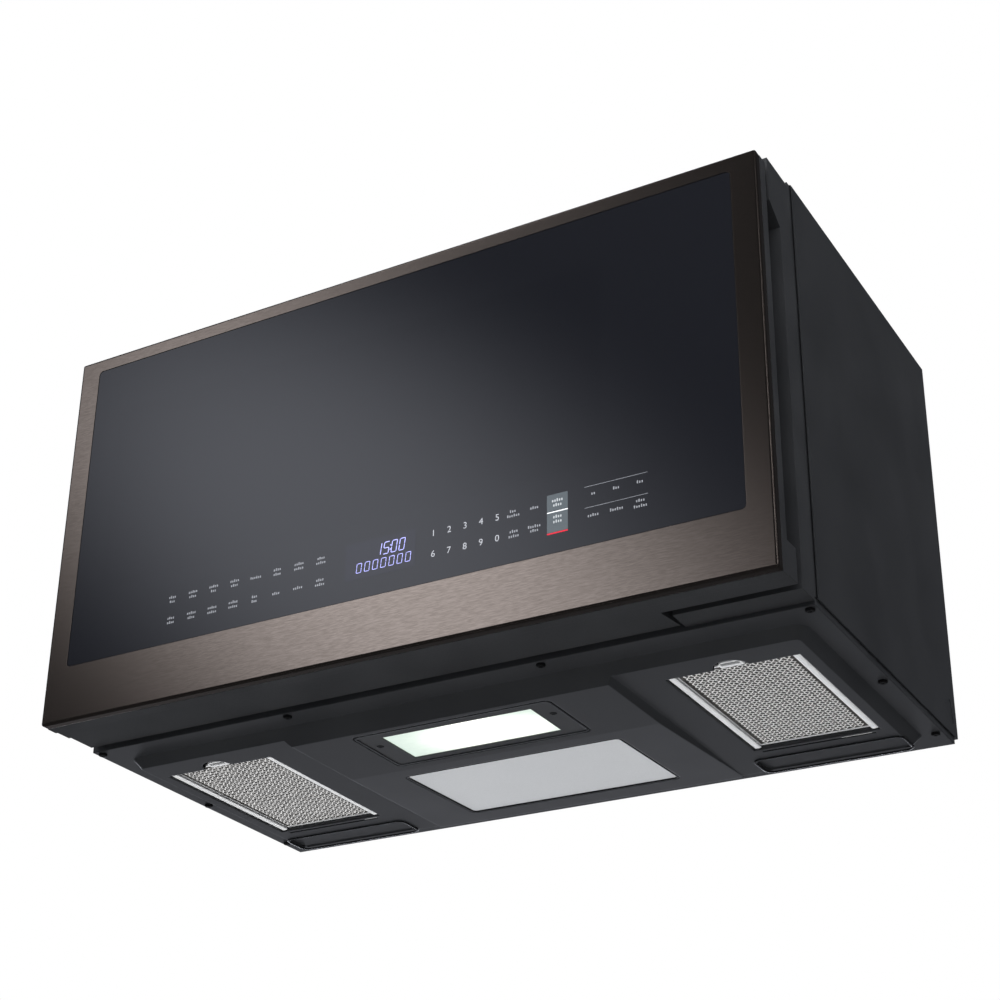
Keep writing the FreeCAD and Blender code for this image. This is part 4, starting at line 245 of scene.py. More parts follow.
def brushed_steel(colours):
    """Stainless steel sheet, brushed lengthwise and coated warm black: fine level lines, soft sheen."""
    made, tree, place = new_finish("coated_brushed_steel")
    # Brush lines are 0.2 mm apart on the real sheet; drawn 0.7 mm apart and 7 mm long so that they show.
    laid = add(tree, "Mapping", {"Vector": place, "Scale": (140, 1500, 1500)})
    lines = add(tree, "TexNoise", {"Vector": laid, "Scale": 1.0, "Detail": 1.0, "Roughness": 0.5})
    share = add(tree, "MapRange", {"Value": lines, "From Min": 0.25, "From Max": 0.75})
    tone = add(tree, "Mix", {0: share, 6: opaque(colours.steel_groove), 7: opaque(colours.steel)},
               data_type="RGBA")
    worn = add(tree, "MapRange", {"Value": lines, "From Min": 0.3, "From Max": 0.7,
                                  "To Min": 0.16, "To Max": 0.13})
    soft = add(tree, "Bevel", {"Radius": 0.6 * MM}, samples=6)
    bump = add(tree, "Bump", {"Height": lines, "Strength": 0.04, "Distance": 0.03 * MM, "Normal": soft})
    shader = add(tree, "BsdfPrincipled", {
        "Base Color": tone, "Metallic": 1.0, "Roughness": worn, "Normal": bump})
    add(tree, "OutputMaterial", {"Surface": shader})
    return made


def printed_glass(colours, window):
    """Tempered glass with a dark ceramic print behind it: deep colour, hard clear gloss."""
    made, tree, place = new_finish("tempered_printed_glass")
    centre, size = (window[0] + window[1]) / 2, window[1] - window[0]
    # The print over the window is thinner, so the window shows a shade darker, with a 2 mm soft edge.
    off = add(tree, "VectorMath", {0: place, 1: centre}, operation="SUBTRACT")
    far = add(tree, "SeparateXYZ", {"Vector": add(tree, "VectorMath", {0: off}, operation="ABSOLUTE")})
    level = add(tree, "MapRange", {"Value": far.outputs["X"], "From Min": size.x / 2 - 2 * MM,
                                   "From Max": size.x / 2, "To Min": 1.0, "To Max": 0.0})
    upright = add(tree, "MapRange", {"Value": far.outputs["Z"], "From Min": size.z / 2 - 2 * MM,
                                     "From Max": size.z / 2, "To Min": 1.0, "To Max": 0.0})
    inside = add(tree, "Math", {0: level, 1: upright}, operation="MULTIPLY")
    tone = add(tree, "Mix", {0: inside, 6: opaque(colours.glass), 7: opaque(colours.window)},
               data_type="RGBA")
    # Tempering leaves waves about 60 mm long that bend reflections a little.
    wave = add(tree, "TexNoise", {"Vector": place, "Scale": 16.0, "Detail": 1.0})
    bump = add(tree, "Bump", {"Height": wave, "Strength": 0.05, "Distance": 0.2 * MM})
    shader = add(tree, "BsdfPrincipled", {
        "Base Color": tone, "Roughness": 0.045, "IOR": 1.52, "Normal": bump})
    add(tree, "OutputMaterial", {"Surface": shader})
    return made


def powder_paint(name, colour, roughness=0.42, radius=0.6 * MM):
    """Polyester powder paint on sheet steel, baked: satin, with shallow orange peel and soft edges."""
    made, tree, place = new_finish(name)
    # Orange peel is 1.5 mm from crest to crest.
    peel = add(tree, "TexNoise", {"Vector": place, "Scale": 660.0, "Detail": 2.0, "Roughness": 0.4})
    cloud = add(tree, "TexNoise", {"Vector": place, "Scale": 11.0, "Detail": 2.0})
    share = add(tree, "MapRange", {"Value": cloud, "From Min": 0.3, "From Max": 0.7})
    light = tuple(min(1.0, c * 1.25 + 0.001) for c in colour)
    tone = add(tree, "Mix", {0: share, 6: opaque(colour), 7: opaque(light)}, data_type="RGBA")
    worn = add(tree, "MapRange", {"Value": cloud, "From Min": 0.3, "From Max": 0.7,
                                  "To Min": roughness - 0.03, "To Max": roughness + 0.04})
    soft = add(tree, "Bevel", {"Radius": radius}, samples=8)
    bump = add(tree, "Bump", {"Height": peel, "Strength": 0.2, "Distance": 0.03 * MM, "Normal": soft})
    shader = add(tree, "BsdfPrincipled", {
        "Base Color": tone, "Roughness": worn, "IOR": 1.5, "Normal": bump})
    add(tree, "OutputMaterial", {"Surface": shader})
    return made


def grained_plastic(name, colour, roughness=0.5, grains=1600.0):
    """ABS, injection moulded in a spark-eroded tool: even matt grain that scatters light."""
    made, tree, place = new_finish(name)
    # The eroded grain is 0.6 mm wide, which is 1600 grains in a metre.
    pits = add(tree, "TexNoise", {"Vector": place, "Scale": grains, "Detail": 2.0, "Roughness": 0.7})
    flow = add(tree, "TexNoise", {"Vector": place, "Scale": 18.0, "Detail": 1.0})
    share = add(tree, "MapRange", {"Value": flow, "From Min": 0.35, "From Max": 0.65})
    light = tuple(min(1.0, c * 1.2 + 0.001) for c in colour)
    tone = add(tree, "Mix", {0: share, 6: opaque(colour), 7: opaque(light)}, data_type="RGBA")
    worn = add(tree, "MapRange", {"Value": pits, "From Min": 0.3, "From Max": 0.7,
                                  "To Min": roughness - 0.06, "To Max": roughness + 0.08})
    soft = add(tree, "Bevel", {"Radius": 0.4 * MM}, samples=4)
    bump = add(tree, "Bump", {"Height": pits, "Strength": 0.3, "Distance": 0.04 * MM, "Normal": soft})
    shader = add(tree, "BsdfPrincipled", {
        "Base Color": tone, "Roughness": worn, "IOR": 1.53, "Normal": bump})
    add(tree, "OutputMaterial", {"Surface": shader})
    return made


def galvanised_steel():
    """Hot-dip galvanised sheet: zinc crystals of about 9 mm, each with its own grey and sheen."""
    made, tree, place = new_finish("galvanised_sheet")
    crystals = add(tree, "TexVoronoi", {"Vector": place, "Scale": 110.0, "Randomness": 1.0})
    tone = add(tree, "SeparateColor", {"Color": crystals.outputs["Color"]})
    scratch = add(tree, "TexNoise", {"Vector": place, "Scale": 800.0, "Detail": 2.0})
    grey = add(tree, "Mix", {0: tone, 6: opaque(linear("8d9092")), 7: opaque(linear("b4b7b9"))},
               data_type="RGBA")
    worn = add(tree, "MapRange", {"Value": tone, "To Min": 0.34, "To Max": 0.52})
    bump = add(tree, "Bump", {"Height": scratch, "Strength": 0.12, "Distance": 0.02 * MM})
    shader = add(tree, "BsdfPrincipled", {
        "Base Color": grey, "Metallic": 0.85, "Roughness": worn, "Normal": bump})
    add(tree, "OutputMaterial", {"Surface": shader})
    return made


def rolled_aluminium():
    """Aluminium strip, cold rolled and left bright: mill lines along it, clean soft edges."""
    made, tree, place = new_finish("rolled_aluminium")
    # Mill lines are 0.8 mm apart and run front to back.
    laid = add(tree, "Mapping", {"Vector": place, "Scale": (1250, 60, 1250)})
    lines = add(tree, "TexNoise", {"Vector": laid, "Scale": 1.0, "Detail": 2.0})
    share = add(tree, "MapRange", {"Value": lines, "From Min": 0.3, "From Max": 0.7})
    tone = add(tree, "Mix", {0: share, 6: opaque(linear("e2e3e4")), 7: opaque(linear("fbfbfa"))},
               data_type="RGBA")
    worn = add(tree, "MapRange", {"Value": lines, "From Min": 0.3, "From Max": 0.7,
                                  "To Min": 0.48, "To Max": 0.36})
    soft = add(tree, "Bevel", {"Radius": 1.2 * MM}, samples=6)
    bump = add(tree, "Bump", {"Height": lines, "Strength": 0.1, "Distance": 0.03 * MM, "Normal": soft})
    shader = add(tree, "BsdfPrincipled", {
        "Base Color": tone, "Metallic": 0.4, "Roughness": worn, "Normal": bump})
    add(tree, "OutputMaterial", {"Surface": shader})
    return made


def mesh_filling():
    """Aluminium foil, slit and stretched, many layers deep: bright strand rows over gaps painted near black,
    as painted shade deep in the layers.
    """
    made, tree, place = new_finish("layered_aluminium_mesh")
    # Strand rows of the upper layers lie 2.6 mm apart and break up every 6 mm.
    laid = add(tree, "Mapping", {"Vector": place, "Scale": (160, 385, 385)})
    rows = add(tree, "TexNoise", {"Vector": laid, "Scale": 1.0, "Detail": 3.0, "Roughness": 0.7})
    fine = add(tree, "TexNoise", {"Vector": place, "Scale": 1100.0, "Detail": 2.0, "Roughness": 0.6})
    both = add(tree, "Math", {0: rows, 1: fine}, operation="MULTIPLY")
    share = add(tree, "MapRange", {"Value": both, "From Min": 0.16, "From Max": 0.3})
    # The low end of this mix is near black: painted shade in the gaps between the strand rows.
    tone = add(tree, "Mix", {0: share, 6: opaque(linear("080707")), 7: opaque(linear("5c5955"))},
               data_type="RGBA")
    worn = add(tree, "MapRange", {"Value": fine, "From Min": 0.3, "From Max": 0.7,
                                  "To Min": 0.3, "To Max": 0.55})
    bump = add(tree, "Bump", {"Height": both, "Strength": 1.0, "Distance": 2.2 * MM})
    shader = add(tree, "BsdfPrincipled", {
        "Base Color": tone, "Metallic": 0.25, "Roughness": worn, "Normal": bump})
    add(tree, "OutputMaterial", {"Surface": shader})
    return made


def strand_aluminium():
    """Aluminium foil strands of the outer mesh layer, cut bright on their edges."""
    made, tree, place = new_finish("mesh_strand_aluminium")
    shine = add(tree, "TexNoise", {"Vector": place, "Scale": 450.0, "Detail": 2.0})
    share = add(tree, "MapRange", {"Value": shine, "From Min": 0.35, "From Max": 0.65})
    tone = add(tree, "Mix", {0: share, 6: opaque(linear("d6d4d1")), 7: opaque(linear("fdfcfa"))},
               data_type="RGBA")
    worn = add(tree, "MapRange", {"Value": shine, "From Min": 0.3, "From Max": 0.7,
                                  "To Min": 0.45, "To Max": 0.25})
    bump = add(tree, "Bump", {"Height": shine, "Strength": 0.6, "Distance": 0.6 * MM})
    shader = add(tree, "BsdfPrincipled", {
        "Base Color": tone, "Metallic": 0.3, "Roughness": worn, "Normal": bump})
    add(tree, "OutputMaterial", {"Surface": shader})
    return made


def lit_lens(low, high):
    """Soda glass, pressed with a fine ribbed back, lit by two lamps: white core, pale green ends."""
    made, tree, place = new_finish("pressed_lamp_glass")
    centre, half = (low + high) / 2, (high - low) / 2
    spots = []
    for along, across, reach in ((-0.05, 0.12, 0.62), (0.5, 0.2, 0.5), (0.1, -0.7, 0.5)):
        at = (centre.x + along * half.x, centre.y + across * half.y, centre.z)
        size = (half.x * reach, half.y * reach * 1.9, 1.0)
        off = add(tree, "VectorMath", {0: place, 1: at}, operation="SUBTRACT")
        away = add(tree, "VectorMath", {0: off, 1: size}, operation="DIVIDE")
        far = add(tree, "VectorMath", {0: away}, operation="LENGTH")
        spots.append(add(tree, "MapRange", {"Value": far.outputs["Value"], "From Max": 1.5,
                                            "To Min": 1.0, "To Max": 0.0},
                         interpolation_type="SMOOTHERSTEP"))
    first = add(tree, "Math", {0: spots[0], 1: spots[1]}, operation="MAXIMUM")
    core = add(tree, "Math", {0: first, 1: spots[2]}, operation="MAXIMUM")
    # Ribs on the lens's back are 6 mm apart.
    laid = add(tree, "Mapping", {"Vector": place, "Scale": (85, 165, 165)})
    ribs = add(tree, "TexNoise", {"Vector": laid, "Scale": 1.0, "Detail": 2.0, "Roughness": 0.6})
    uneven = add(tree, "Math", {0: ribs, 1: 0.16, 2: -0.08}, operation="MULTIPLY_ADD")
    lit = add(tree, "Math", {0: core, 1: uneven}, operation="ADD")
    tone = add(tree, "Mix", {0: lit, 6: opaque(linear("c3d1c7")), 7: opaque(linear("fffdf6"))},
               data_type="RGBA")
    glow = add(tree, "MapRange", {"Value": lit, "To Min": 0.92, "To Max": 1.3})
    bump = add(tree, "Bump", {"Height": ribs, "Strength": 0.1, "Distance": 0.1 * MM})
    shader = add(tree, "BsdfPrincipled", {
        "Base Color": opaque(linear("8b948d")), "Roughness": 0.12, "IOR": 1.5,
        "Emission Color": tone, "Emission Strength": glow, "Normal": bump})
    add(tree, "OutputMaterial", {"Surface": shader})
    return made


def plate_foil():
    """Polyester foil with a silver print, laid on the base plate: flat, satin, faint print grain."""
    made, tree, place = new_finish("silver_printed_foil")
    grain = add(tree, "TexNoise", {"Vector": place, "Scale": 2000.0, "Detail": 2.0})
    cloud = add(tree, "TexNoise", {"Vector": place, "Scale": 16.0, "Detail": 1.0})
    share = add(tree, "MapRange", {"Value": grain, "From Min": 0.3, "From Max": 0.7})
    tone = add(tree, "Mix", {0: share, 6: opaque(linear("afb1b2")), 7: opaque(linear("c4c5c7"))},
               data_type="RGBA")
    worn = add(tree, "MapRange", {"Value": cloud, "From Min": 0.3, "From Max": 0.7,
                                  "To Min": 0.42, "To Max": 0.5})
    shader = add(tree, "BsdfPrincipled", {
        "Base Color": tone, "Metallic": 0.2, "Roughness": worn, "IOR": 1.5})
    add(tree, "OutputMaterial", {"Surface": shader})
    return made


def screw_steel():
    """Carbon steel screws, phosphated black and oiled: dark, with a low broad sheen."""
    made, tree, place = new_finish("phosphated_screw_steel")
    wear = add(tree, "TexNoise", {"Vector": place, "Scale": 1400.0, "Detail": 2.0})
    share = add(tree, "MapRange", {"Value": wear, "From Min": 0.4, "From Max": 0.75})
    tone = add(tree, "Mix", {0: share, 6: opaque(linear("161617")), 7: opaque(linear("343434"))},
               data_type="RGBA")
    worn = add(tree, "MapRange", {"Value": wear, "From Min": 0.3, "From Max": 0.7,
                                  "To Min": 0.34, "To Max": 0.46})
    shader = add(tree, "BsdfPrincipled", {"Base Color": tone, "Metallic": 0.75, "Roughness": worn})
    add(tree, "OutputMaterial", {"Surface": shader})
    return made


def zinc_steel():
    """Steel parts, zinc plated and clear passivated: bright, faintly mottled."""
    made, tree, place = new_finish("zinc_plated_steel")
    mottle = add(tree, "TexNoise", {"Vector": place, "Scale": 660.0, "Detail": 2.0})
    share = add(tree, "MapRange", {"Value": mottle, "From Min": 0.3, "From Max": 0.7})
    tone = add(tree, "Mix", {0: share, 6: opaque(linear("8f9194")), 7: opaque(linear("b9bbbd"))},
               data_type="RGBA")
    worn = add(tree, "MapRange", {"Value": mottle, "From Min": 0.3, "From Max": 0.7,
                                  "To Min": 0.38, "To Max": 0.24})
    shader = add(tree, "BsdfPrincipled", {"Base Color": tone, "Metallic": 1.0, "Roughness": worn})
    add(tree, "OutputMaterial", {"Surface": shader})
    return made


def cavity_enamel():
    """Grey epoxy enamel baked on the oven's steel: satin, with dark flecks of a millimetre."""
    made, tree, place = new_finish("flecked_cavity_enamel")
    # Flecks lie 2.2 mm apart.
    cells = add(tree, "TexVoronoi", {"Vector": place, "Scale": 450.0})
    fleck = add(tree, "MapRange", {"Value": cells, "From Min": 0.16, "From Max": 0.26,
                                   "To Min": 1.0, "To Max": 0.0})
    cloud = add(tree, "TexNoise", {"Vector": place, "Scale": 33.0, "Detail": 2.0})
    ground = add(tree, "Mix", {0: cloud, 6: opaque(linear("7f7f7c")), 7: opaque(linear("8f8f8b"))},
                 data_type="RGBA")
    tone = add(tree, "Mix", {0: fleck, 6: ground, 7: opaque(linear("4c4c4b"))}, data_type="RGBA")
    bump = add(tree, "Bump", {"Height": cells, "Strength": 0.08, "Distance": 0.02 * MM})
    shader = add(tree, "BsdfPrincipled", {
        "Base Color": tone, "Roughness": 0.36, "IOR": 1.5, "Normal": bump})
    add(tree, "OutputMaterial", {"Surface": shader})
    return made


def punched_screen():
    """Sheet steel, punched with round holes and painted black: rows of dark holes in a satin web."""
    made, tree, place = new_finish("punched_screen_steel")
    # Fine holes, 1.4 mm wide and 2.4 mm apart, are drawn between the few wide ones that the solid has.
    laid = add(tree, "Mapping", {"Vector": place, "Scale": (417, 417, 417), "Rotation": (0, 0.785, 0)})
    cells = add(tree, "TexVoronoi", {"Vector": laid, "Scale": 1.0, "Randomness": 0.0})
    hole = add(tree, "MapRange", {"Value": cells, "From Min": 0.26, "From Max": 0.32,
                                  "To Min": 1.0, "To Max": 0.0})
    tone = add(tree, "Mix", {0: hole, 6: opaque(linear("2b2c2e")), 7: opaque(linear("050505"))},
               data_type="RGBA")
    worn = add(tree, "MapRange", {"Value": hole, "To Min": 0.38, "To Max": 0.85})
    bump = add(tree, "Bump", {"Height": hole, "Strength": 0.5, "Distance": 0.3 * MM}, invert=True)
    shader = add(tree, "BsdfPrincipled", {
        "Base Color": tone, "Roughness": worn, "IOR": 1.5, "Normal": bump})
    add(tree, "OutputMaterial", {"Surface": shader})
    return made


def clear_glass(name, tint, roughness):
    """Soda-lime glass, polished or pressed: clear, green only where it is thick."""
    made, tree, place = new_finish(name)
    wave = add(tree, "TexNoise", {"Vector": place, "Scale": 40.0, "Detail": 1.0})
    light = tuple(min(1.0, c * 1.05) for c in tint)
    tone = add(tree, "Mix", {0: wave, 6: opaque(tint), 7: opaque(light)}, data_type="RGBA")
    bump = add(tree, "Bump", {"Height": wave, "Strength": 0.05, "Distance": 0.1 * MM})
    shader = add(tree, "BsdfPrincipled", {
        "Base Color": tone, "Transmission Weight": 1.0, "IOR": 1.52, "Roughness": roughness,
        "Normal": bump})
    add(tree, "OutputMaterial", {"Surface": shader})
    return made


def mica_sheet():
    """Muscovite mica, pressed with silicone: tan flakes of 5 mm with a pearly sheen."""
    made, tree, place = new_finish("pressed_mica")
    flakes = add(tree, "TexVoronoi", {"Vector": place, "Scale": 200.0})
    share = add(tree, "SeparateColor", {"Color": flakes.outputs["Color"]})
    tone = add(tree, "Mix", {0: share, 6: opaque(linear("a5977b")), 7: opaque(linear("c4b89c"))},
               data_type="RGBA")
    worn = add(tree, "MapRange", {"Value": share, "To Min": 0.35, "To Max": 0.55})
    shader = add(tree, "BsdfPrincipled", {"Base Color": tone, "Sheen Weight": 0.2, "Roughness": worn})
    add(tree, "OutputMaterial", {"Surface": shader})
    return made


def circuit_board():
    """Glass-epoxy board under green solder mask: satin green over faint copper runs."""
    made, tree, place = new_finish("solder_masked_board")
    # Copper runs lie 0.6 mm apart: the bricks are half a unit long and a quarter high.
    laid = add(tree, "Mapping", {"Vector": place, "Scale": (400, 400, 400)})
    runs = add(tree, "TexBrick", {
        "Vector": laid, "Scale": 1.0, "Mortar Size": 0.06, "Color1": opaque(linear("1f4a2f")),
        "Color2": opaque(linear("24553a")), "Mortar": opaque(linear("3f7a4c"))})
    bump = add(tree, "Bump", {"Height": runs.outputs["Fac"], "Strength": 0.2, "Distance": 0.04 * MM})
    shader = add(tree, "BsdfPrincipled", {
        "Base Color": runs.outputs["Color"], "Roughness": 0.35, "Normal": bump})
    add(tree, "OutputMaterial", {"Surface": shader})
    return made


def core_laminations():
    """Silicon steel sheets of 0.5 mm, stacked and varnished: dark, finely lined."""
    made, tree, place = new_finish("varnished_laminations")
    # Sheets are drawn 1 mm thick so that they show.
    laid = add(tree, "Mapping", {"Vector": place, "Scale": (20, 1000, 20)})
    sheets = add(tree, "TexNoise", {"Vector": laid, "Scale": 1.0, "Detail": 1.0, "Roughness": 0.3})
    share = add(tree, "MapRange", {"Value": sheets, "From Min": 0.35, "From Max": 0.65})
    tone = add(tree, "Mix", {0: share, 6: opaque(linear("2f2d2b")), 7: opaque(linear("6d6a66"))},
               data_type="RGBA")
    worn = add(tree, "MapRange", {"Value": sheets, "From Min": 0.3, "From Max": 0.7,
                                  "To Min": 0.5, "To Max": 0.32})
    bump = add(tree, "Bump", {"Height": sheets, "Strength": 0.4, "Distance": 0.1 * MM})
    shader = add(tree, "BsdfPrincipled", {
        "Base Color": tone, "Metallic": 0.7, "Roughness": worn, "Normal": bump})
    add(tree, "OutputMaterial", {"Surface": shader})
    return made


def heating_tube():
    """Nickel alloy heater tube, oxidised by use: dull brown grey."""
    made, tree, place = new_finish("oxidised_heater_tube")
    scale = add(tree, "TexNoise", {"Vector": place, "Scale": 330.0, "Detail": 3.0})
    share = add(tree, "MapRange", {"Value": scale, "From Min": 0.3, "From Max": 0.7})
    tone = add(tree, "Mix", {0: share, 6: opaque(linear("3b332e")), 7: opaque(linear("6b5f57"))},
               data_type="RGBA")
    worn = add(tree, "MapRange", {"Value": scale, "From Min": 0.3, "From Max": 0.7,
                                  "To Min": 0.4, "To Max": 0.6})
    shader = add(tree, "BsdfPrincipled", {"Base Color": tone, "Metallic": 0.9, "Roughness": worn})
    add(tree, "OutputMaterial", {"Surface": shader})
    return made


def charcoal_fleece():
    """Charcoal granules of about 3 mm behind black fleece: deep black, lumpy, no sheen."""
    made, tree, place = new_finish("charcoal_granules")
    lumps = add(tree, "TexVoronoi", {"Vector": place, "Scale": 330.0})
    tone = add(tree, "Mix", {0: lumps, 6: opaque(linear("2a2a2b")), 7: opaque(linear("0b0b0c"))},
               data_type="RGBA")
    bump = add(tree, "Bump", {"Height": lumps, "Strength": 0.8, "Distance": 1.0 * MM})
    shader = add(tree, "BsdfPrincipled", {
        "Base Color": tone, "Roughness": 0.9, "Specular IOR Level": 0.2, "Normal": bump})
    add(tree, "OutputMaterial", {"Surface": shader})
    return made


def print_ink(name, colour, glow=0.0):
    """Screen print on the glass's back: slightly uneven in cover, under the glass's own gloss. Its glow lights
    the display's figures, and a small glow on plain print is painted light.
    """
    made, tree, place = new_finish(name)
    cover = add(tree, "TexNoise", {"Vector": place, "Scale": 1250.0, "Detail": 2.0})
    share = add(tree, "MapRange", {"Value": cover, "From Min": 0.35, "From Max": 0.65})
    dim = tuple(c * 0.85 for c in colour)
    tone = add(tree, "Mix", {0: share, 6: opaque(dim), 7: opaque(colour)}, data_type="RGBA")
    shader = add(tree, "BsdfPrincipled", {
        "Base Color": tone, "Roughness": 0.06, "IOR": 1.52, "Emission Color": tone,
        "Emission Strength": glow})
    add(tree, "OutputMaterial", {"Surface": shader})
    return made


# ---------------------------------------------------------------- pieces

def cross_screw(name, width, crown, recess):
    """One screw head with its crown up from the origin, its edge rounded and a cross recess cut in."""
    head = fresh("cylinder", name, vertices=32, radius=width / 2, depth=crown,
                 location=(0, 0, crown / 2))
    top = crown - 1e-6
    choose(head, "edges", lambda e: all(v.co.z > top for v in e.verts))
    bpy.ops.mesh.bevel(offset=crown * 0.62, segments=4, affect="EDGES", profile=0.6)
    choose(head, "faces", lambda f: f.normal.z > 0.99 and f.calc_center_median().z > top)
    bpy.ops.mesh.inset(thickness=width * 0.06, depth=0.0)
    leave()
    arms = []
    for turn in (0, math.pi / 2):
        arm = fresh("cube", f"{name}_arm", size=1.0, scale=(width * 0.62, width * 0.13, recess * 2),
                    location=(0, 0, crown))
        choose(arm, "faces", lambda f: f.normal.z < -0.9)
        bpy.ops.transform.resize(value=(0.45, 0.6, 1.0))
        leave()
        arm.rotation_euler = (0, 0, turn)
        arms.append(arm)
    cutter = joined(arms, f"{name}_cutter")
    apply_modifier(head, "BOOLEAN", object=cutter, operation="DIFFERENCE", solver="EXACT", use_self=True)
    bpy.data.objects.remove(cutter)
    alone(head)
    bpy.ops.object.shade_smooth_by_angle(angle=math.radians(32))
    return head


def screws_at(name, one, places, turn, body, finish):
    """Copies one screw to its places, each turned as it was driven, and joins them."""
    copies = []
    for number, at in enumerate(places):
        driven = Matrix.Rotation(0.7 + number * 1.3, 4, "Z")
        copy = copy_to(one, f"{name}_{number}", at, turn)
        copy.data.transform(driven)
        copies.append(copy)
    bpy.data.objects.remove(one)
    whole = joined(copies, name)
    return settled(whole, body, finish)


def shared(name, make):
    """A finish that several operators use, made when it is first asked for."""
    return bpy.data.materials.get(name) or make()


def screw_finish():
    """The one finish of all the screws."""
    return shared("phosphated_screw_steel", screw_steel)


def lattice(name, box, cell_x, cell_y):
    """One layer of slit and stretched foil: a diamond strand, repeated both ways."""
    low, high = box
    long, short = cell_x / 2, cell_y / 2
    strand = 1.0 * MM
    foil = 0.35 * MM
    sag = 0.9 * MM
    clearance = 0.05 * MM
    diamond = fresh("circle", name, vertices=4, radius=1.0, fill_type="NGON")
    choose(diamond, "faces", lambda f: True)
    bpy.ops.transform.resize(value=(long, short, 1.0))
    bpy.ops.mesh.inset(thickness=strand, depth=0.0)
    leave()
    choose(diamond, "faces", lambda f: len(f.edges) == 4 and all(
        max(abs(v.co.x) / long, abs(v.co.y) / short) < 0.97 for v in f.verts))
    bpy.ops.mesh.delete(type="FACE")
    bpy.ops.mesh.select_all(action="SELECT")
    bpy.ops.mesh.extrude_region_move(TRANSFORM_OT_translate={"value": (0, 0, -foil)})
    leave()
    choose(diamond, "verts", lambda v: v.co.y > short * 0.2)
    bpy.ops.transform.translate(value=(0, 0, -sag))
    leave()
    across = int((high.x - low.x - cell_x) / cell_x)
    along = int((high.y - low.y - cell_y) / cell_y)
    apply_modifier(diamond, "ARRAY", count=across, use_relative_offset=False,
                   use_constant_offset=True, constant_offset_displace=(cell_x, 0, 0))
    apply_modifier(diamond, "ARRAY", count=along, use_relative_offset=False,
                   use_constant_offset=True, constant_offset_displace=(0, cell_y, 0))
    start_x = (low.x + high.x - (across - 1) * cell_x) / 2
    start_y = (low.y + high.y - (along - 1) * cell_y) / 2
    diamond.location = (start_x, start_y, low.z - clearance)
    return diamond


def pressed_bead(name, x, y, corner, width, drop, at, tilt=0.0):
    """A rounded rectangular bead, hanging down from a height, flat or tilted with the sheet it is in."""
    bead = fresh("plane", name, size=1.0)
    choose(bead, "faces", lambda f: True)
    bpy.ops.transform.resize(value=(x[1] - x[0], y[1] - y[0], 1))
    leave()
    choose(bead, "verts", lambda v: True)
    bpy.ops.mesh.bevel(offset=corner, segments=6, affect="VERTICES")
    leave()
    choose(bead, "faces", lambda f: True)
    bpy.ops.mesh.inset(thickness=width, depth=0.0)
    bpy.ops.mesh.delete(type="FACE")
    bpy.ops.mesh.select_all(action="SELECT")
    bpy.ops.mesh.extrude_region_move(TRANSFORM_OT_translate={"value": (0, 0, -drop)})
    leave()
    sharp = math.radians(69)
    choose(bead, "edges", lambda e: e.calc_face_angle(0) > sharp and all(
        v.co.z < -drop * 0.5 for v in e.verts))
    bpy.ops.mesh.bevel(offset=min(drop, width / 2) * 0.9, segments=3, affect="EDGES")
    bpy.ops.mesh.select_all(action="SELECT")
    bpy.ops.mesh.normals_make_consistent(inside=False)
    leave()
    bead.location = ((x[0] + x[1]) / 2, (y[0] + y[1]) / 2, at)
    bead.rotation_euler = (tilt, 0, 0)
    alone(bead)
    bpy.ops.object.shade_smooth_by_angle(angle=math.radians(40))
    return bead


def rolled_rail(name, x, y, z, crown):
    """One rolled edge of a filter: a strip whose underside is a low round crown."""
    blank = 4 * MM
    rail = fresh("cube", name, size=1.0, scale=(x[1] - x[0], y[1] - y[0], blank),
                 location=((x[0] + x[1]) / 2, (y[0] + y[1]) / 2, z))
    choose(rail, "edges", lambda e: all(v.co.z < z for v in e.verts) and abs(
        e.verts[0].co.x - e.verts[1].co.x) < 1e-6)
    bpy.ops.mesh.bevel(offset=(x[1] - x[0]) * 0.46, segments=6, affect="EDGES")
    leave()
    choose(rail, "faces", lambda f: True)
    bpy.ops.transform.resize(value=(1.0, 1.0, crown / blank), center_override=(0, 0, z + blank / 2))
    bpy.ops.transform.translate(value=(0, 0, -blank / 2))
    leave()
    bpy.ops.object.shade_smooth_by_angle(angle=math.radians(50))
    return rail


def segment(name, length, width, depth):
    """One bar of a seven-bar figure, level and centred, with pointed ends."""
    bar = fresh("plane", name, size=1.0)
    choose(bar, "faces", lambda f: True)
    bpy.ops.transform.resize(value=(length - width, width, 1))
    leave()
    for side in (-1, 1):
        choose(bar, "edges", lambda e: all(v.co.x * side > (length - width) / 2 - 1e-6 for v in e.verts))
        bpy.ops.mesh.subdivide(number_cuts=1)
        leave()
        choose(bar, "verts", lambda v: v.co.x * side > 0 and abs(v.co.y) < width * 0.1)
        bpy.ops.transform.translate(value=(side * width / 2, 0, 0))
        leave()
    choose(bar, "faces", lambda f: True)
    bpy.ops.mesh.extrude_region_move(TRANSFORM_OT_translate={"value": (0, 0, depth)})
    leave()
    return bar


FONT_SHARE = 0.72  # the height of a figure in the font, as a share of the text size
FIGURE_BARS = {"0": "abcdef", "1": "bc", "2": "abged", "3": "abgcd", "4": "fgbc", "5": "afgcd",
               "6": "afgedc", "7": "abc", "8": "abcdefg", "9": "abcdfg"}


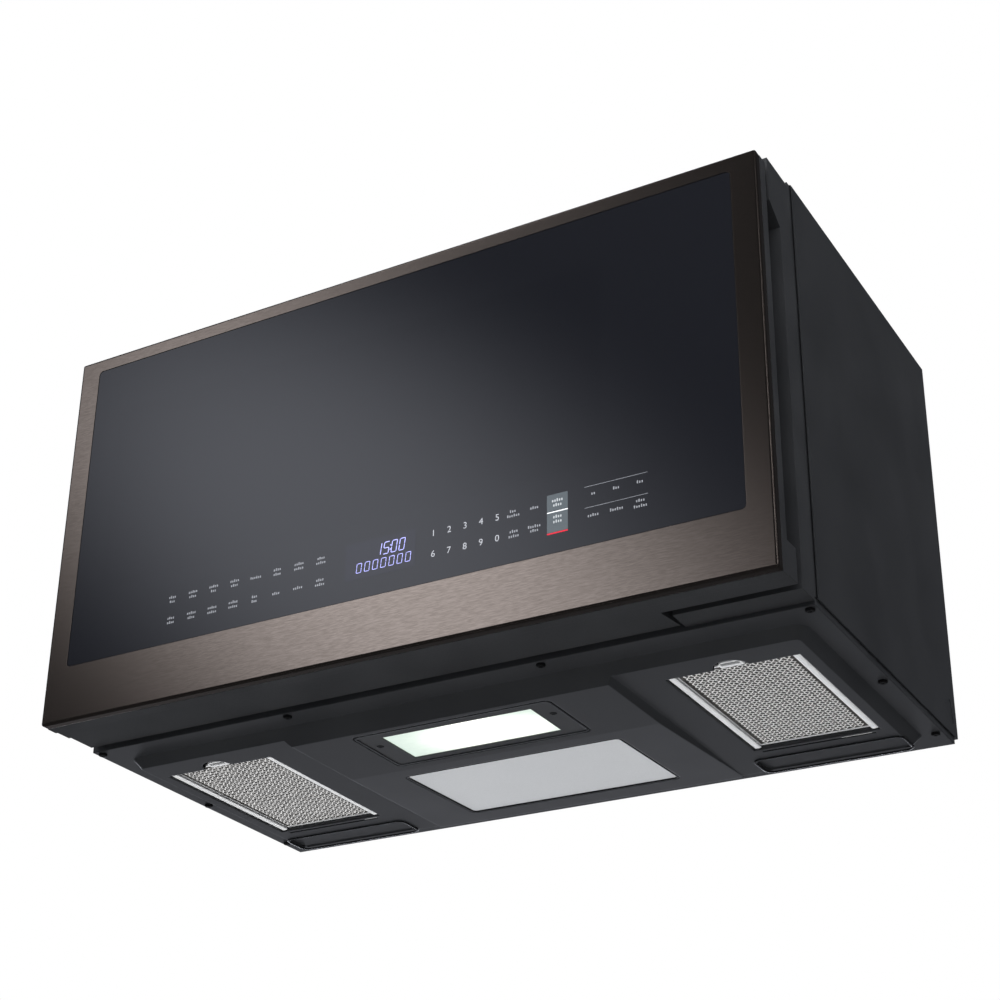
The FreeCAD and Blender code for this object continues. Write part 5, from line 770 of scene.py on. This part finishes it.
def bar_figures(name, text, height, width, pitch, slant, stroke, depth):
    """Figures made of bars, as a display lights them, standing on the origin's line from left to right."""
    level = segment(f"{name}_level", width - stroke * 0.4, stroke, depth)
    upright = segment(f"{name}_upright", height / 2 - stroke * 0.4, stroke, depth)
    half, side = height / 2, width / 2
    laid = {"a": (0, height, 0), "g": (0, half, 0), "d": (0, 0, 0),
            "b": (side, half * 1.5, 1), "c": (side, half * 0.5, 1),
            "f": (-side, half * 1.5, 1), "e": (-side, half * 0.5, 1)}
    bars = []
    for number, figure in enumerate(text):
        for key in FIGURE_BARS[figure]:
            x, y, stands = laid[key]
            at = (number * pitch + x + y * slant, y, 0)
            bars.append(copy_to(upright if stands else level, f"{name}_{number}{key}", at,
                                (0, 0, math.pi / 2 - math.atan(slant) if stands else 0)))
    for used in (level, upright):
        bpy.data.objects.remove(used)
    return joined(bars, name)


def on_glass(piece, x, z, face, proud=0.05 * MM):
    """Stands a flat piece, modelled face up, against the front of the glass."""
    piece.rotation_euler = (math.pi / 2, 0, 0)
    piece.location = (x, face - proud, z)
    return piece


def glass_face():
    """The y of the glass's front."""
    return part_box("door_glass")[0].y


def numeral(text, height):
    """One printed figure as a flat mesh, centred."""
    bpy.ops.object.select_all(action="DESELECT")
    bpy.ops.object.text_add()
    written = bpy.context.object
    written.data.body = text
    written.data.align_x = "CENTER"
    written.data.align_y = "CENTER"
    written.data.size = height / FONT_SHARE
    written.data.extrude = 0.03 * MM
    bpy.ops.object.convert(target="MESH")
    return bpy.context.object


def dash_words(name, dash, step, rows):
    """Rows of small dashes that stand for words: centre, height and the dashes in each word."""
    dashes = []
    for x, z, words in rows:
        total = (sum(words) + len(words) - 2) * step
        at = x - total / 2
        for word in words:
            for number in range(word):
                rise = 1.35 if (number * 5 + word) % 3 == 0 else 1.0
                mark = copy_to(dash, f"{name}_{len(dashes)}", (at, z, 0))
                mark.scale = (1.0, rise, 1.0)
                dashes.append(mark)
                at += step
            at += step
    bpy.data.objects.remove(dash)
    return joined(dashes, name)


def small_dash(width, height):
    """One dash with cut corners, flat and thin, standing on its own line."""
    dash = fresh("plane", "dash", size=1.0)
    choose(dash, "faces", lambda f: True)
    bpy.ops.transform.resize(value=(width, height, 1))
    bpy.ops.transform.translate(value=(0, height / 2, 0))
    leave()
    choose(dash, "verts", lambda v: True)
    bpy.ops.mesh.bevel(offset=min(width, height) * 0.3, segments=1, affect="VERTICES")
    bpy.ops.mesh.select_all(action="SELECT")
    bpy.ops.mesh.extrude_region_move(TRANSFORM_OT_translate={"value": (0, 0, 0.04 * MM)})
    leave()
    return dash


def thin_plate(name, x, z, corner, depth=0.04 * MM):
    """A thin rounded plate, modelled face up in x and z, for key fields and ruled lines."""
    plate = fresh("plane", name, size=1.0)
    choose(plate, "faces", lambda f: True)
    bpy.ops.transform.resize(value=(x[1] - x[0], z[1] - z[0], 1))
    leave()
    if corner:
        choose(plate, "verts", lambda v: True)
        bpy.ops.mesh.bevel(offset=corner, segments=4, affect="VERTICES")
        leave()
    choose(plate, "faces", lambda f: True)
    bpy.ops.mesh.extrude_region_move(TRANSFORM_OT_translate={"value": (0, 0, depth)})
    leave()
    return on_glass(plate, (x[0] + x[1]) / 2, (z[0] + z[1]) / 2, glass_face())


# ---------------------------------------------------------------- operators

class MICROWAVE_OT_shell_finishes(bpy.types.Operator):
    """Paint the case, the back, the vent and the cord gland"""

    bl_idname = "microwave.shell_finishes"
    bl_label = "Shell Finishes"
    bl_options = {"REGISTER", "UNDO"}

    def execute(self, context):
        colours = context.scene.microwave_colours
        paint_nodes(powder_paint("case_powder_paint", colours.paint), "cabinet_wrap")
        paint_nodes(grained_plastic("front_frame_plastic", colours.plastic), "front_frame")
        paint_nodes(shared("galvanised_sheet", galvanised_steel), "back_plate")
        paint_nodes(grained_plastic("black_plastic", linear("141516"), 0.45),
                    "vent_grille", "cord_gland")
        paint_nodes(charcoal_fleece(), "charcoal_filter")
        return {"FINISHED"}


class MICROWAVE_OT_door_finishes(bpy.types.Operator):
    """Finish the door's steel, glass, frame and inner panel"""

    bl_idname = "microwave.door_finishes"
    bl_label = "Door Finishes"
    bl_options = {"REGISTER", "UNDO"}

    def execute(self, context):
        colours = context.scene.microwave_colours
        low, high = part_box("inner_pane")
        paint_nodes(brushed_steel(colours), "door_bezel")
        paint_nodes(printed_glass(colours, (low, high)), "door_glass")
        paint_nodes(grained_plastic("door_frame_plastic", colours.plastic), "door_frame")
        paint_nodes(powder_paint("door_panel_enamel", linear("222325"), 0.35), "inner_panel")
        paint_nodes(punched_screen(), "door_screen")
        paint_nodes(grained_plastic("choke_plastic", linear("17181a"), 0.4), "choke_cover")
        paint_nodes(clear_glass("inner_window_glass", linear("d5dad8"), 0.02), "inner_pane")
        paint_nodes(circuit_board(), "touch_board", "control_board", "noise_filter")
        paint_nodes(grained_plastic("display_plastic", linear("101114"), 0.2), "display_module")
        paint_nodes(grained_plastic("latch_plastic", linear("17181a"), 0.4),
                    "latch_board", "interlock_switches")
        paint_nodes(zinc_steel(), "hinge_pins", "latch_spring")
        return {"FINISHED"}


class MICROWAVE_OT_underside_finishes(bpy.types.Operator):
    """Finish the base plate, lamp, bare plate and grease filters"""

    bl_idname = "microwave.underside_finishes"
    bl_label = "Underside Finishes"
    bl_options = {"REGISTER", "UNDO"}

    def execute(self, context):
        colours = context.scene.microwave_colours
        paint_nodes(powder_paint("base_powder_paint", linear("242527"), 0.36, 1.8 * MM), "base_plate")
        paint_nodes(powder_paint("lamp_cover_paint", linear("2b2c2e"), 0.45), "lamp_cover")
        paint_nodes(lit_lens(*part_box("lamp_lens")), "lamp_lens")
        paint_nodes(plate_foil(), "label_plate")
        paint_nodes(shared("rolled_aluminium", rolled_aluminium),
                    "filter_frame_left", "filter_frame_right", "capacitor", "magnetron")
        paint_nodes(mesh_filling(), "filter_mesh_left", "filter_mesh_right")
        return {"FINISHED"}


class MICROWAVE_OT_cavity_finishes(bpy.types.Operator):
    """Finish the oven cavity, turntable, rollers and inner glass"""

    bl_idname = "microwave.cavity_finishes"
    bl_label = "Cavity Finishes"
    bl_options = {"REGISTER", "UNDO"}

    def execute(self, context):
        paint_nodes(cavity_enamel(), "oven_cavity")
        paint_nodes(mica_sheet(), "waveguide_cover")
        paint_nodes(clear_glass("pressed_tray_glass", linear("e2ebe7"), 0.06), "glass_tray")
        paint_nodes(grained_plastic("white_acetal", linear("cfcec8"), 0.42, 2000.0),
                    "turntable_coupler", "roller_1", "roller_2", "roller_3", "roller_ring",
                    "lamp_housing", "lamp_board", "latch_hooks", "cooling_fan")
        paint_nodes(heating_tube(), "convection_heater")
        return {"FINISHED"}


class MICROWAVE_OT_works_finishes(bpy.types.Operator):
    """Finish the blower, fans, transformer and other works inside the case"""

    bl_idname = "microwave.works_finishes"
    bl_label = "Works Finishes"
    bl_options = {"REGISTER", "UNDO"}

    def execute(self, context):
        sheet = shared("galvanised_sheet", galvanised_steel)
        paint_nodes(sheet, "hinge_brackets", "cavity_lamp", "turntable_motor", "convection_housing",
                    "convection_fan", "component_tray", "waveguide", "fan_bracket", "blower_housing",
                    "blower_wheels")
        paint_nodes(core_laminations(),
                    "transformer", "convection_motor", "cooling_fan_motor", "blower_motor")
        return {"FINISHED"}


class MICROWAVE_OT_base_screws(bpy.types.Operator):
    """Add the pan head screws that hold the base plate"""

    bl_idname = "microwave.base_screws"
    bl_label = "Base Screws"
    bl_options = {"REGISTER", "UNDO"}

    def execute(self, context):
        sizes = context.scene.microwave_sizes
        low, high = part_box("base_plate")
        flange = -26 * MM
        from_edge = 7 * MM
        from_back = 36 * MM
        side, front = high.x - from_edge, low.y + from_edge
        middle, rear = (low.y + high.y) / 2, high.y - from_back
        places = [(-side, front, flange), (side * -0.4, front, flange), (side * 0.327, front, flange),
                  (side, front, flange), (-side, middle, flange), (-side, rear, flange),
                  (side, middle, flange), (side, rear, flange)]
        one = cross_screw("pan_head", sizes.screw_head, sizes.screw_crown, 1.3 * MM)
        screws_at("base_screws", one, places, (math.pi, 0, 0), "body", screw_finish())
        return {"FINISHED"}


class MICROWAVE_OT_pressed_beads(bpy.types.Operator):
    """Add the pressed beads round the pads, the lamp cover and the bare plate, painted near black as painted
    shade along their edges
    """

    bl_idname = "microwave.pressed_beads"
    bl_label = "Pressed Beads"
    bl_options = {"REGISTER", "UNDO"}

    def execute(self, context):
        # The beads are real pressed form, but their paint is near black, darker than the base plate's: painted
        # shade along the recess edges.
        finish = powder_paint("bead_powder_paint", linear("0c0d0e"), 0.2, 0.3 * MM)
        width = 3 * MM
        drop = 1.2 * MM
        lamp_drop = 0.5 * MM
        corner = 7 * MM
        pad_corner = 10 * MM
        pad_middle = 274 * MM
        pad_half = 76 * MM
        pad_y = (-76 * MM, -35 * MM)
        pad_face = -35.5 * MM
        for side, name in ((-1, "left"), (1, "right")):
            middle = side * pad_middle
            pad = pressed_bead(f"pad_bead_{name}", (middle - pad_half, middle + pad_half), pad_y,
                               pad_corner, width, drop, pad_face)
            settled(pad, "body", finish)
        low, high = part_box("lamp_cover")
        lamp = pressed_bead("lamp_bead", (low.x, high.x), (low.y, high.y), corner, width, lamp_drop, low.z)
        settled(lamp, "body", finish)
        low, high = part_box("label_plate")
        foil = 0.8 * MM
        rise = high.z - low.z - foil
        tilt = math.atan2(rise, high.y - low.y)
        label = pressed_bead("label_bead", (low.x, high.x), (low.y, high.y), corner, width, drop,
                             low.z + rise / 2, tilt)
        settled(label, "body", finish)
        return {"FINISHED"}


class MICROWAVE_OT_lamp_screws(bpy.types.Operator):
    """Add the two countersunk screws of the lamp cover"""

    bl_idname = "microwave.lamp_screws"
    bl_label = "Lamp Screws"
    bl_options = {"REGISTER", "UNDO"}

    def execute(self, context):
        sizes = context.scene.microwave_sizes
        low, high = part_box("lamp_cover")
        half_spacing = 93 * MM
        from_front = 32.6 * MM
        seat = 0.9 * MM
        places = [(side * half_spacing, low.y + from_front, low.z + seat) for side in (-1, 1)]
        one = cross_screw("flush_head", sizes.flush_head, 1.3 * MM, 0.9 * MM)
        screws_at("lamp_screws", one, places, (math.pi, 0, 0), "body", screw_finish())
        return {"FINISHED"}


class MICROWAVE_OT_case_screws(bpy.types.Operator):
    """Add the screws along the rear edge of the case's top"""

    bl_idname = "microwave.case_screws"
    bl_label = "Case Screws"
    bl_options = {"REGISTER", "UNDO"}

    def execute(self, context):
        sizes = context.scene.microwave_sizes
        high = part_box("cabinet_wrap")[1]
        from_back = 8 * MM
        places = [(x * MM, high.y - from_back, high.z) for x in (-330, -170, 170, 352)]
        one = cross_screw("case_head", sizes.screw_head, sizes.screw_crown, 1.3 * MM)
        screws_at("case_screws", one, places, (0, 0, 0), "body", screw_finish())
        return {"FINISHED"}


class MICROWAVE_OT_filter_lattices(bpy.types.Operator):
    """Add the outer mesh layer of both grease filters"""

    bl_idname = "microwave.filter_lattices"
    bl_label = "Filter Lattices"
    bl_options = {"REGISTER", "UNDO"}

    def execute(self, context):
        sizes = context.scene.microwave_sizes
        finish = strand_aluminium()
        for side in ("left", "right"):
            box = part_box(f"filter_mesh_{side}")
            layer = lattice(f"filter_lattice_{side}", box, sizes.mesh_cell_x, sizes.mesh_cell_y)
            settled(layer, f"filter_{side}", finish)
        return {"FINISHED"}


class MICROWAVE_OT_filter_rails(bpy.types.Operator):
    """Add the rolled edges along both grease filters"""

    bl_idname = "microwave.filter_rails"
    bl_label = "Filter Rails"
    bl_options = {"REGISTER", "UNDO"}

    def execute(self, context):
        finish = shared("rolled_aluminium", rolled_aluminium)
        margin = 0.6 * MM
        crown = 1.3 * MM
        front_stop = 8 * MM
        back_stop = 1 * MM
        for side in ("left", "right"):
            low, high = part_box(f"filter_frame_{side}")
            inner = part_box(f"filter_mesh_{side}")
            ends = (low.y + front_stop, high.y - back_stop)
            strips = ((low.x + margin, inner[0].x - margin), (inner[1].x + margin, high.x - margin))
            rails = [rolled_rail(f"filter_rail_{number}", x, ends, low.z, crown)
                     for number, x in enumerate(strips)]
            settled(joined(rails, f"filter_rails_{side}"), f"filter_{side}", finish)
        return {"FINISHED"}


class MICROWAVE_OT_display(bpy.types.Operator):
    """Add the display's field and its lit figures"""

    bl_idname = "microwave.display"
    bl_label = "Display"
    bl_options = {"REGISTER", "UNDO"}

    def execute(self, context):
        sizes = context.scene.microwave_sizes
        colours = context.scene.microwave_colours
        field = thin_plate("display_field", (-33 * MM, 41 * MM), (52 * MM, 89 * MM), 1 * MM, 0.02 * MM)
        settled(field, "door", print_ink("display_field_print", linear("191a22")))
        lit = print_ink("display_figures", colours.display, 0.62)
        slant = 0.13
        clock_foot = 71.2
        film = 0.05 * MM
        clock = bar_figures("clock_figures", "1500", sizes.clock_height, 5.2 * MM, 8.2 * MM, slant,
                            0.68 * MM, film)
        on_glass(clock, 1.5 * MM, clock_foot * MM, glass_face())
        settled(clock, "door", lit)
        dots = []
        for lift in (3.4, 7.4):
            dot = fresh("cylinder", "clock_dot", vertices=12, radius=0.62 * MM, depth=film)
            choose(dot, "faces", lambda f: f.normal.z > 0.9)
            bpy.ops.mesh.inset(thickness=0.15 * MM, depth=0.0)
            leave()
            dots.append(on_glass(dot, (14.0 + lift * slant) * MM, (clock_foot + lift) * MM, glass_face()))
        settled(joined(dots, "clock_dots"), "door", lit)
        line = bar_figures("program_figures", "0000000", 9.0 * MM, 5.0 * MM, 8.6 * MM, 0.1,
                           0.55 * MM, film)
        on_glass(line, -18.5 * MM, 58.4 * MM, glass_face())
        settled(line, "door", print_ink("display_line", colours.display, 0.42))
        return {"FINISHED"}


class MICROWAVE_OT_key_numerals(bpy.types.Operator):
    """Add the printed numerals of the number keys"""

    bl_idname = "microwave.key_numerals"
    bl_label = "Key Numerals"
    bl_options = {"REGISTER", "UNDO"}

    def execute(self, context):
        sizes = context.scene.microwave_sizes
        colours = context.scene.microwave_colours
        first_x = 59.3
        pitch = 16.1
        figures = []
        for text, z in (("12345", 79.6), ("67890", 59.4)):
            for column, mark in enumerate(text):
                figure = numeral(mark, sizes.numeral_height)
                on_glass(figure, (first_x + pitch * column) * MM, z * MM, glass_face())
                figures.append(figure)
        whole = joined(figures, "key_numerals")
        # The numerals' print is given a faint glow: painted light.
        settled(whole, "door", print_ink("numeral_print", colours.print_grey, 0.05))
        return {"FINISHED"}


class MICROWAVE_OT_key_labels(bpy.types.Operator):
    """Add the dashes that mark the program and fan keys, and the two ruled lines"""

    bl_idname = "microwave.key_labels"
    bl_label = "Key Labels"
    bl_options = {"REGISTER", "UNDO"}

    def execute(self, context):
        colours = context.scene.microwave_colours
        rows = []
        first_x = -229.5
        pitch = 24.2
        upper = ((4, 3), (5, 4), (5, 3), (5, 4), (6,), (4, 4), (5, 5), (4, 5))
        lower = ((4, 4), (5, 4), (5, 5), (5, 5), (3, 3), (4,), (5,), (4, 5))
        for column in range(8):
            x = (first_x + pitch * column) * MM
            for z, words in ((77.6 + 0.35 * column, upper[column]), (56.0 + 0.3 * column, lower[column])):
                if len(words) == 2:
                    rows.append((x, (z + 1.3) * MM, words[:1]))
                    rows.append((x, (z - 3.3) * MM, words[1:]))
                else:
                    rows.append((x, (z - 1.0) * MM, words))
        for x, z, dashes in (
            (139, 81.8, 3), (139.5, 77.4, 6), (160, 80.1, 4), (140, 62.2, 4), (140, 57.6, 5),
            (160, 62.2, 6), (160, 58.2, 4), (216.5, 80.0, 2), (238, 80.0, 3), (260, 80.2, 3),
            (216.2, 59.6, 5), (238, 59.9, 6), (260, 62.6, 4), (260, 57.4, 6),
        ):
            rows.append((x * MM, (z - 1.0) * MM, (dashes,)))
        marks = dash_words("program_marks", small_dash(1.25 * MM, 2.2 * MM), 2.15 * MM, rows)
        on_glass(marks, 0, 0, glass_face())
        settled(marks, "door", print_ink("label_print", linear("84868b")))
        half = 0.22
        lines = [thin_plate("ruled_line", (208.3 * MM, 267.3 * MM), ((z - half) * MM, (z + half) * MM), 0)
                 for z in (87.8, 67.8)]
        settled(joined(lines, "ruled_lines"), "door", print_ink("line_print", linear("7d7f84")))
        return {"FINISHED"}


class MICROWAVE_OT_start_stop_keys(bpy.types.Operator):
    """Add the printed start and stop keys with their white and red lines"""

    bl_idname = "microwave.start_stop_keys"
    bl_label = "Start and Stop Keys"
    bl_options = {"REGISTER", "UNDO"}

    def execute(self, context):
        wide = (172.4 * MM, 192.4 * MM)
        grey = print_ink("key_field_print", linear("4a5155"))
        for name, low, high in (("start_key", 72.6, 88.6), ("stop_key", 52.4, 71.0)):
            key = thin_plate(name, wide, (low * MM, high * MM), 0.6 * MM)
            settled(key, "door", grey)
        white = thin_plate("key_line_white", wide, (71.2 * MM, 72.2 * MM), 0)
        # The white line's print is given a faint glow: painted light.
        settled(white, "door", print_ink("white_line_print", linear("e6e8ea"), 0.1))
        red = thin_plate("key_line_red", wide, (50.9 * MM, 52.2 * MM), 0)
        # The red line's print is given a faint glow: painted light.
        settled(red, "door", print_ink("red_line_print", linear("c8102a"), 0.05))
        rows = [(182.4 * MM, z * MM, (count,)) for z, count in ((81.0, 5), (76.6, 4), (65.4, 4), (60.8, 4))]
        marks = dash_words("key_marks", small_dash(1.3 * MM, 2.3 * MM), 2.2 * MM, rows)
        on_glass(marks, 0, 0, glass_face(), 0.1 * MM)
        settled(marks, "door", print_ink("key_mark_print", linear("a9adb0")))
        return {"FINISHED"}


class MICROWAVE_OT_stage(bpy.types.Operator):
    """Add the pale floor, the soft lights and the camera"""

    bl_idname = "microwave.stage"
    bl_label = "Stage"
    bl_options = {"REGISTER", "UNDO"}

    def execute(self, context):
        drop = context.scene.microwave_sizes.floor_drop
        floor = fresh("plane", "studio_floor", size=60.0, location=(0, 0, -drop))
        made, tree, place = new_finish("matt_floor_paint")
        cloud = add(tree, "TexNoise", {"Vector": place, "Scale": 1.0, "Detail": 2.0})
        tone = add(tree, "Mix", {0: cloud, 6: opaque(linear("e6e6e5")), 7: opaque(linear("eeeeed"))},
                   data_type="RGBA")
        shader = add(tree, "BsdfPrincipled", {"Base Color": tone, "Roughness": 0.8})
        add(tree, "OutputMaterial", {"Surface": shader})
        floor.data.materials.append(made)
        floor.visible_glossy = False
        self.sky(context.scene)
        self.lamps()
        self.camera(context.scene)
        return {"FINISHED"}

    def sky(self, scene):
        """Even white behind the object, and a dim room with soft glows for what reflects."""
        world = bpy.data.worlds.new("studio")
        world.use_nodes = True
        scene.world = world
        tree = world.node_tree
        tree.nodes.clear()
        way = add(tree, "TexCoord").outputs["Generated"]
        apart = add(tree, "SeparateXYZ", {"Vector": way})
        # Glows before the object are laid out on the plane one metre ahead: place, turn, size and strength.
        ahead = add(tree, "Math", {0: apart.outputs["Y"], 1: -0.05}, operation="MINIMUM")
        depth = add(tree, "Math", {0: ahead, 1: -1.0}, operation="MULTIPLY")
        plane = add(tree, "VectorMath", {0: way, 1: depth}, operation="DIVIDE")
        total = 0.035  # the dim room itself
        for x, z, turn, size, peak in (
            (-0.70, 0.62, -39.0, (0.56, 0.23), 1.68),
            (-0.47, 0.36, 0.0, (0.17, 0.14), 1.1),
            (-0.68, 0.98, 0.0, (0.30, 0.14), 2.8),
            (1.06, 0.70, 0.0, (0.30, 0.60), 2.0),
            (0.0, 0.0, 0.0, (0.42, 0.22), 0.7),
        ):
            off = add(tree, "VectorMath", {0: plane, 1: (x, -1.0, z)}, operation="SUBTRACT")
            turned = add(tree, "VectorRotate", {
                "Vector": off, "Axis": (0, 1, 0), "Angle": math.radians(turn)}, rotation_type="AXIS_ANGLE")
            sized = add(tree, "VectorMath", {0: turned, 1: (size[0], 1.0, size[1])}, operation="DIVIDE")
            far = add(tree, "VectorMath", {0: sized}, operation="LENGTH")
            glow = add(tree, "MapRange", {"Value": far.outputs["Value"], "To Min": peak, "To Max": 0.0},
                       interpolation_type="SMOOTHERSTEP")
            total = add(tree, "Math", {0: total, 1: glow}, operation="ADD")
        # Behind it a bright sweep rises from just under the horizon, to the left.
        back = add(tree, "MapRange", {"Value": apart.outputs["Y"], "From Min": 0.3, "From Max": 0.75},
                   interpolation_type="SMOOTHSTEP")
        left = add(tree, "MapRange", {"Value": apart.outputs["X"], "From Min": 0.1, "From Max": -0.35},
                   interpolation_type="SMOOTHSTEP")
        side = add(tree, "Math", {0: back, 1: left}, operation="MULTIPLY")
        for start, end, peak in ((-0.42, -0.10, 0.60), (-0.08, 0.12, 3.5)):
            rise = add(tree, "MapRange", {"Value": apart.outputs["Z"], "From Min": start, "From Max": end,
                                          "To Max": peak}, interpolation_type="SMOOTHSTEP")
            total = add(tree, "Math", {0: rise, 1: side, 2: total}, operation="MULTIPLY_ADD")
        soft = add(tree, "Background", {"Color": opaque(linear("f1f4ff")), "Strength": total})
        white = add(tree, "Background", {"Color": (1, 1, 1, 1), "Strength": 1.0})
        seen = add(tree, "LightPath").outputs["Is Camera Ray"]
        both = add(tree, "MixShader", {0: seen, 1: soft, 2: white})
        add(tree, "OutputWorld", {"Surface": both})

    def lamps(self):
        """Broad soft lights, aimed at the object and at the floor under it."""
        for name, at, aim, size, power in (
            ("key_softbox", (-1.6, -3.2, 0.6), (0.0, -0.4, 0.1), 1.8, 34.0),
            ("side_softbox", (2.6, 1.3, 0.9), (0.38, -0.1, 0.1), 1.6, 80.0),
            ("floor_softbox", (0.6, -2.0, 1.4), (0.0, 0.4, -2.6), 2.6, 120.0),
            ("room_softbox", (0.4, 1.9, 3.4), (0.0, 0.3, 0.0), 3.0, 150.0),
            ("rear_softbox", (-2.6, 2.6, 0.5), (0.0, 0.0, 0.1), 1.6, 130.0),
            ("under_softbox", (-0.8, 0.9, -1.3), (0.0, -0.2, 0.0), 1.2, 15.0),
        ):
            bpy.ops.object.light_add(type="AREA", location=at)
            lamp = bpy.context.object
            lamp.name = name
            lamp.data.shape = "SQUARE"
            lamp.data.size = size
            lamp.data.energy = power
            lamp.visible_camera = False
            lamp.visible_glossy = False
            lamp.rotation_euler = (Vector(aim) - Vector(at)).to_track_quat("-Z", "Y").to_euler()

    def camera(self, scene):
        """The photograph's point of view, from below the right front corner, solved from its edges."""
        bpy.ops.object.camera_add(location=(0.8825, -1.7755, -0.7022))
        camera = bpy.context.object
        camera.name = "photo_camera"
        right = Vector((0.8599, 0.5100, 0.0216)).normalized()
        ahead = Vector((-0.4665, 0.7680, 0.4387)).normalized()
        up = right.cross(ahead)
        camera.rotation_euler = Matrix((right, up, -ahead)).transposed().to_euler()
        camera.data.lens = 71.53
        camera.data.sensor_width = 36.0
        camera.data.shift_x = 0.0526
        camera.data.shift_y = 0.0519
        scene.camera = camera
        scene.view_settings.view_transform = "Standard"


class MICROWAVE_PT_dress(bpy.types.Panel):
    """The microwave's fittings, finishes and studio"""

    bl_label = "Microwave"
    bl_idname = "MICROWAVE_PT_dress"
    bl_space_type = "VIEW_3D"
    bl_region_type = "UI"
    bl_category = "Microwave"

    def draw(self, context):
        for step in STEPS:
            self.layout.operator(step.bl_idname)
        for group in (context.scene.microwave_sizes, context.scene.microwave_colours):
            box = self.layout.box()
            for name in group.__annotations__:
                box.prop(group, name)


STEPS = (
    MICROWAVE_OT_shell_finishes,
    MICROWAVE_OT_door_finishes,
    MICROWAVE_OT_underside_finishes,
    MICROWAVE_OT_cavity_finishes,
    MICROWAVE_OT_works_finishes,
    MICROWAVE_OT_base_screws,
    MICROWAVE_OT_pressed_beads,
    MICROWAVE_OT_lamp_screws,
    MICROWAVE_OT_case_screws,
    MICROWAVE_OT_filter_lattices,
    MICROWAVE_OT_filter_rails,
    MICROWAVE_OT_display,
    MICROWAVE_OT_key_numerals,
    MICROWAVE_OT_key_labels,
    MICROWAVE_OT_start_stop_keys,
    MICROWAVE_OT_stage,
)
CLASSES = (MicrowaveSizes, MicrowaveColours, *STEPS, MICROWAVE_PT_dress)


def register():
    for kind in CLASSES:
        bpy.utils.register_class(kind)
    bpy.types.Scene.microwave_sizes = PointerProperty(type=MicrowaveSizes)
    bpy.types.Scene.microwave_colours = PointerProperty(type=MicrowaveColours)


def unregister():
    del bpy.types.Scene.microwave_colours
    del bpy.types.Scene.microwave_sizes
    for kind in reversed(CLASSES):
        bpy.utils.unregister_class(kind)


def main():
    register()
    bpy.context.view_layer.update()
    for step in STEPS:
        group, name = step.bl_idname.split(".")
        getattr(getattr(bpy.ops, group), name)()


if __name__ == "__main__":
    main()
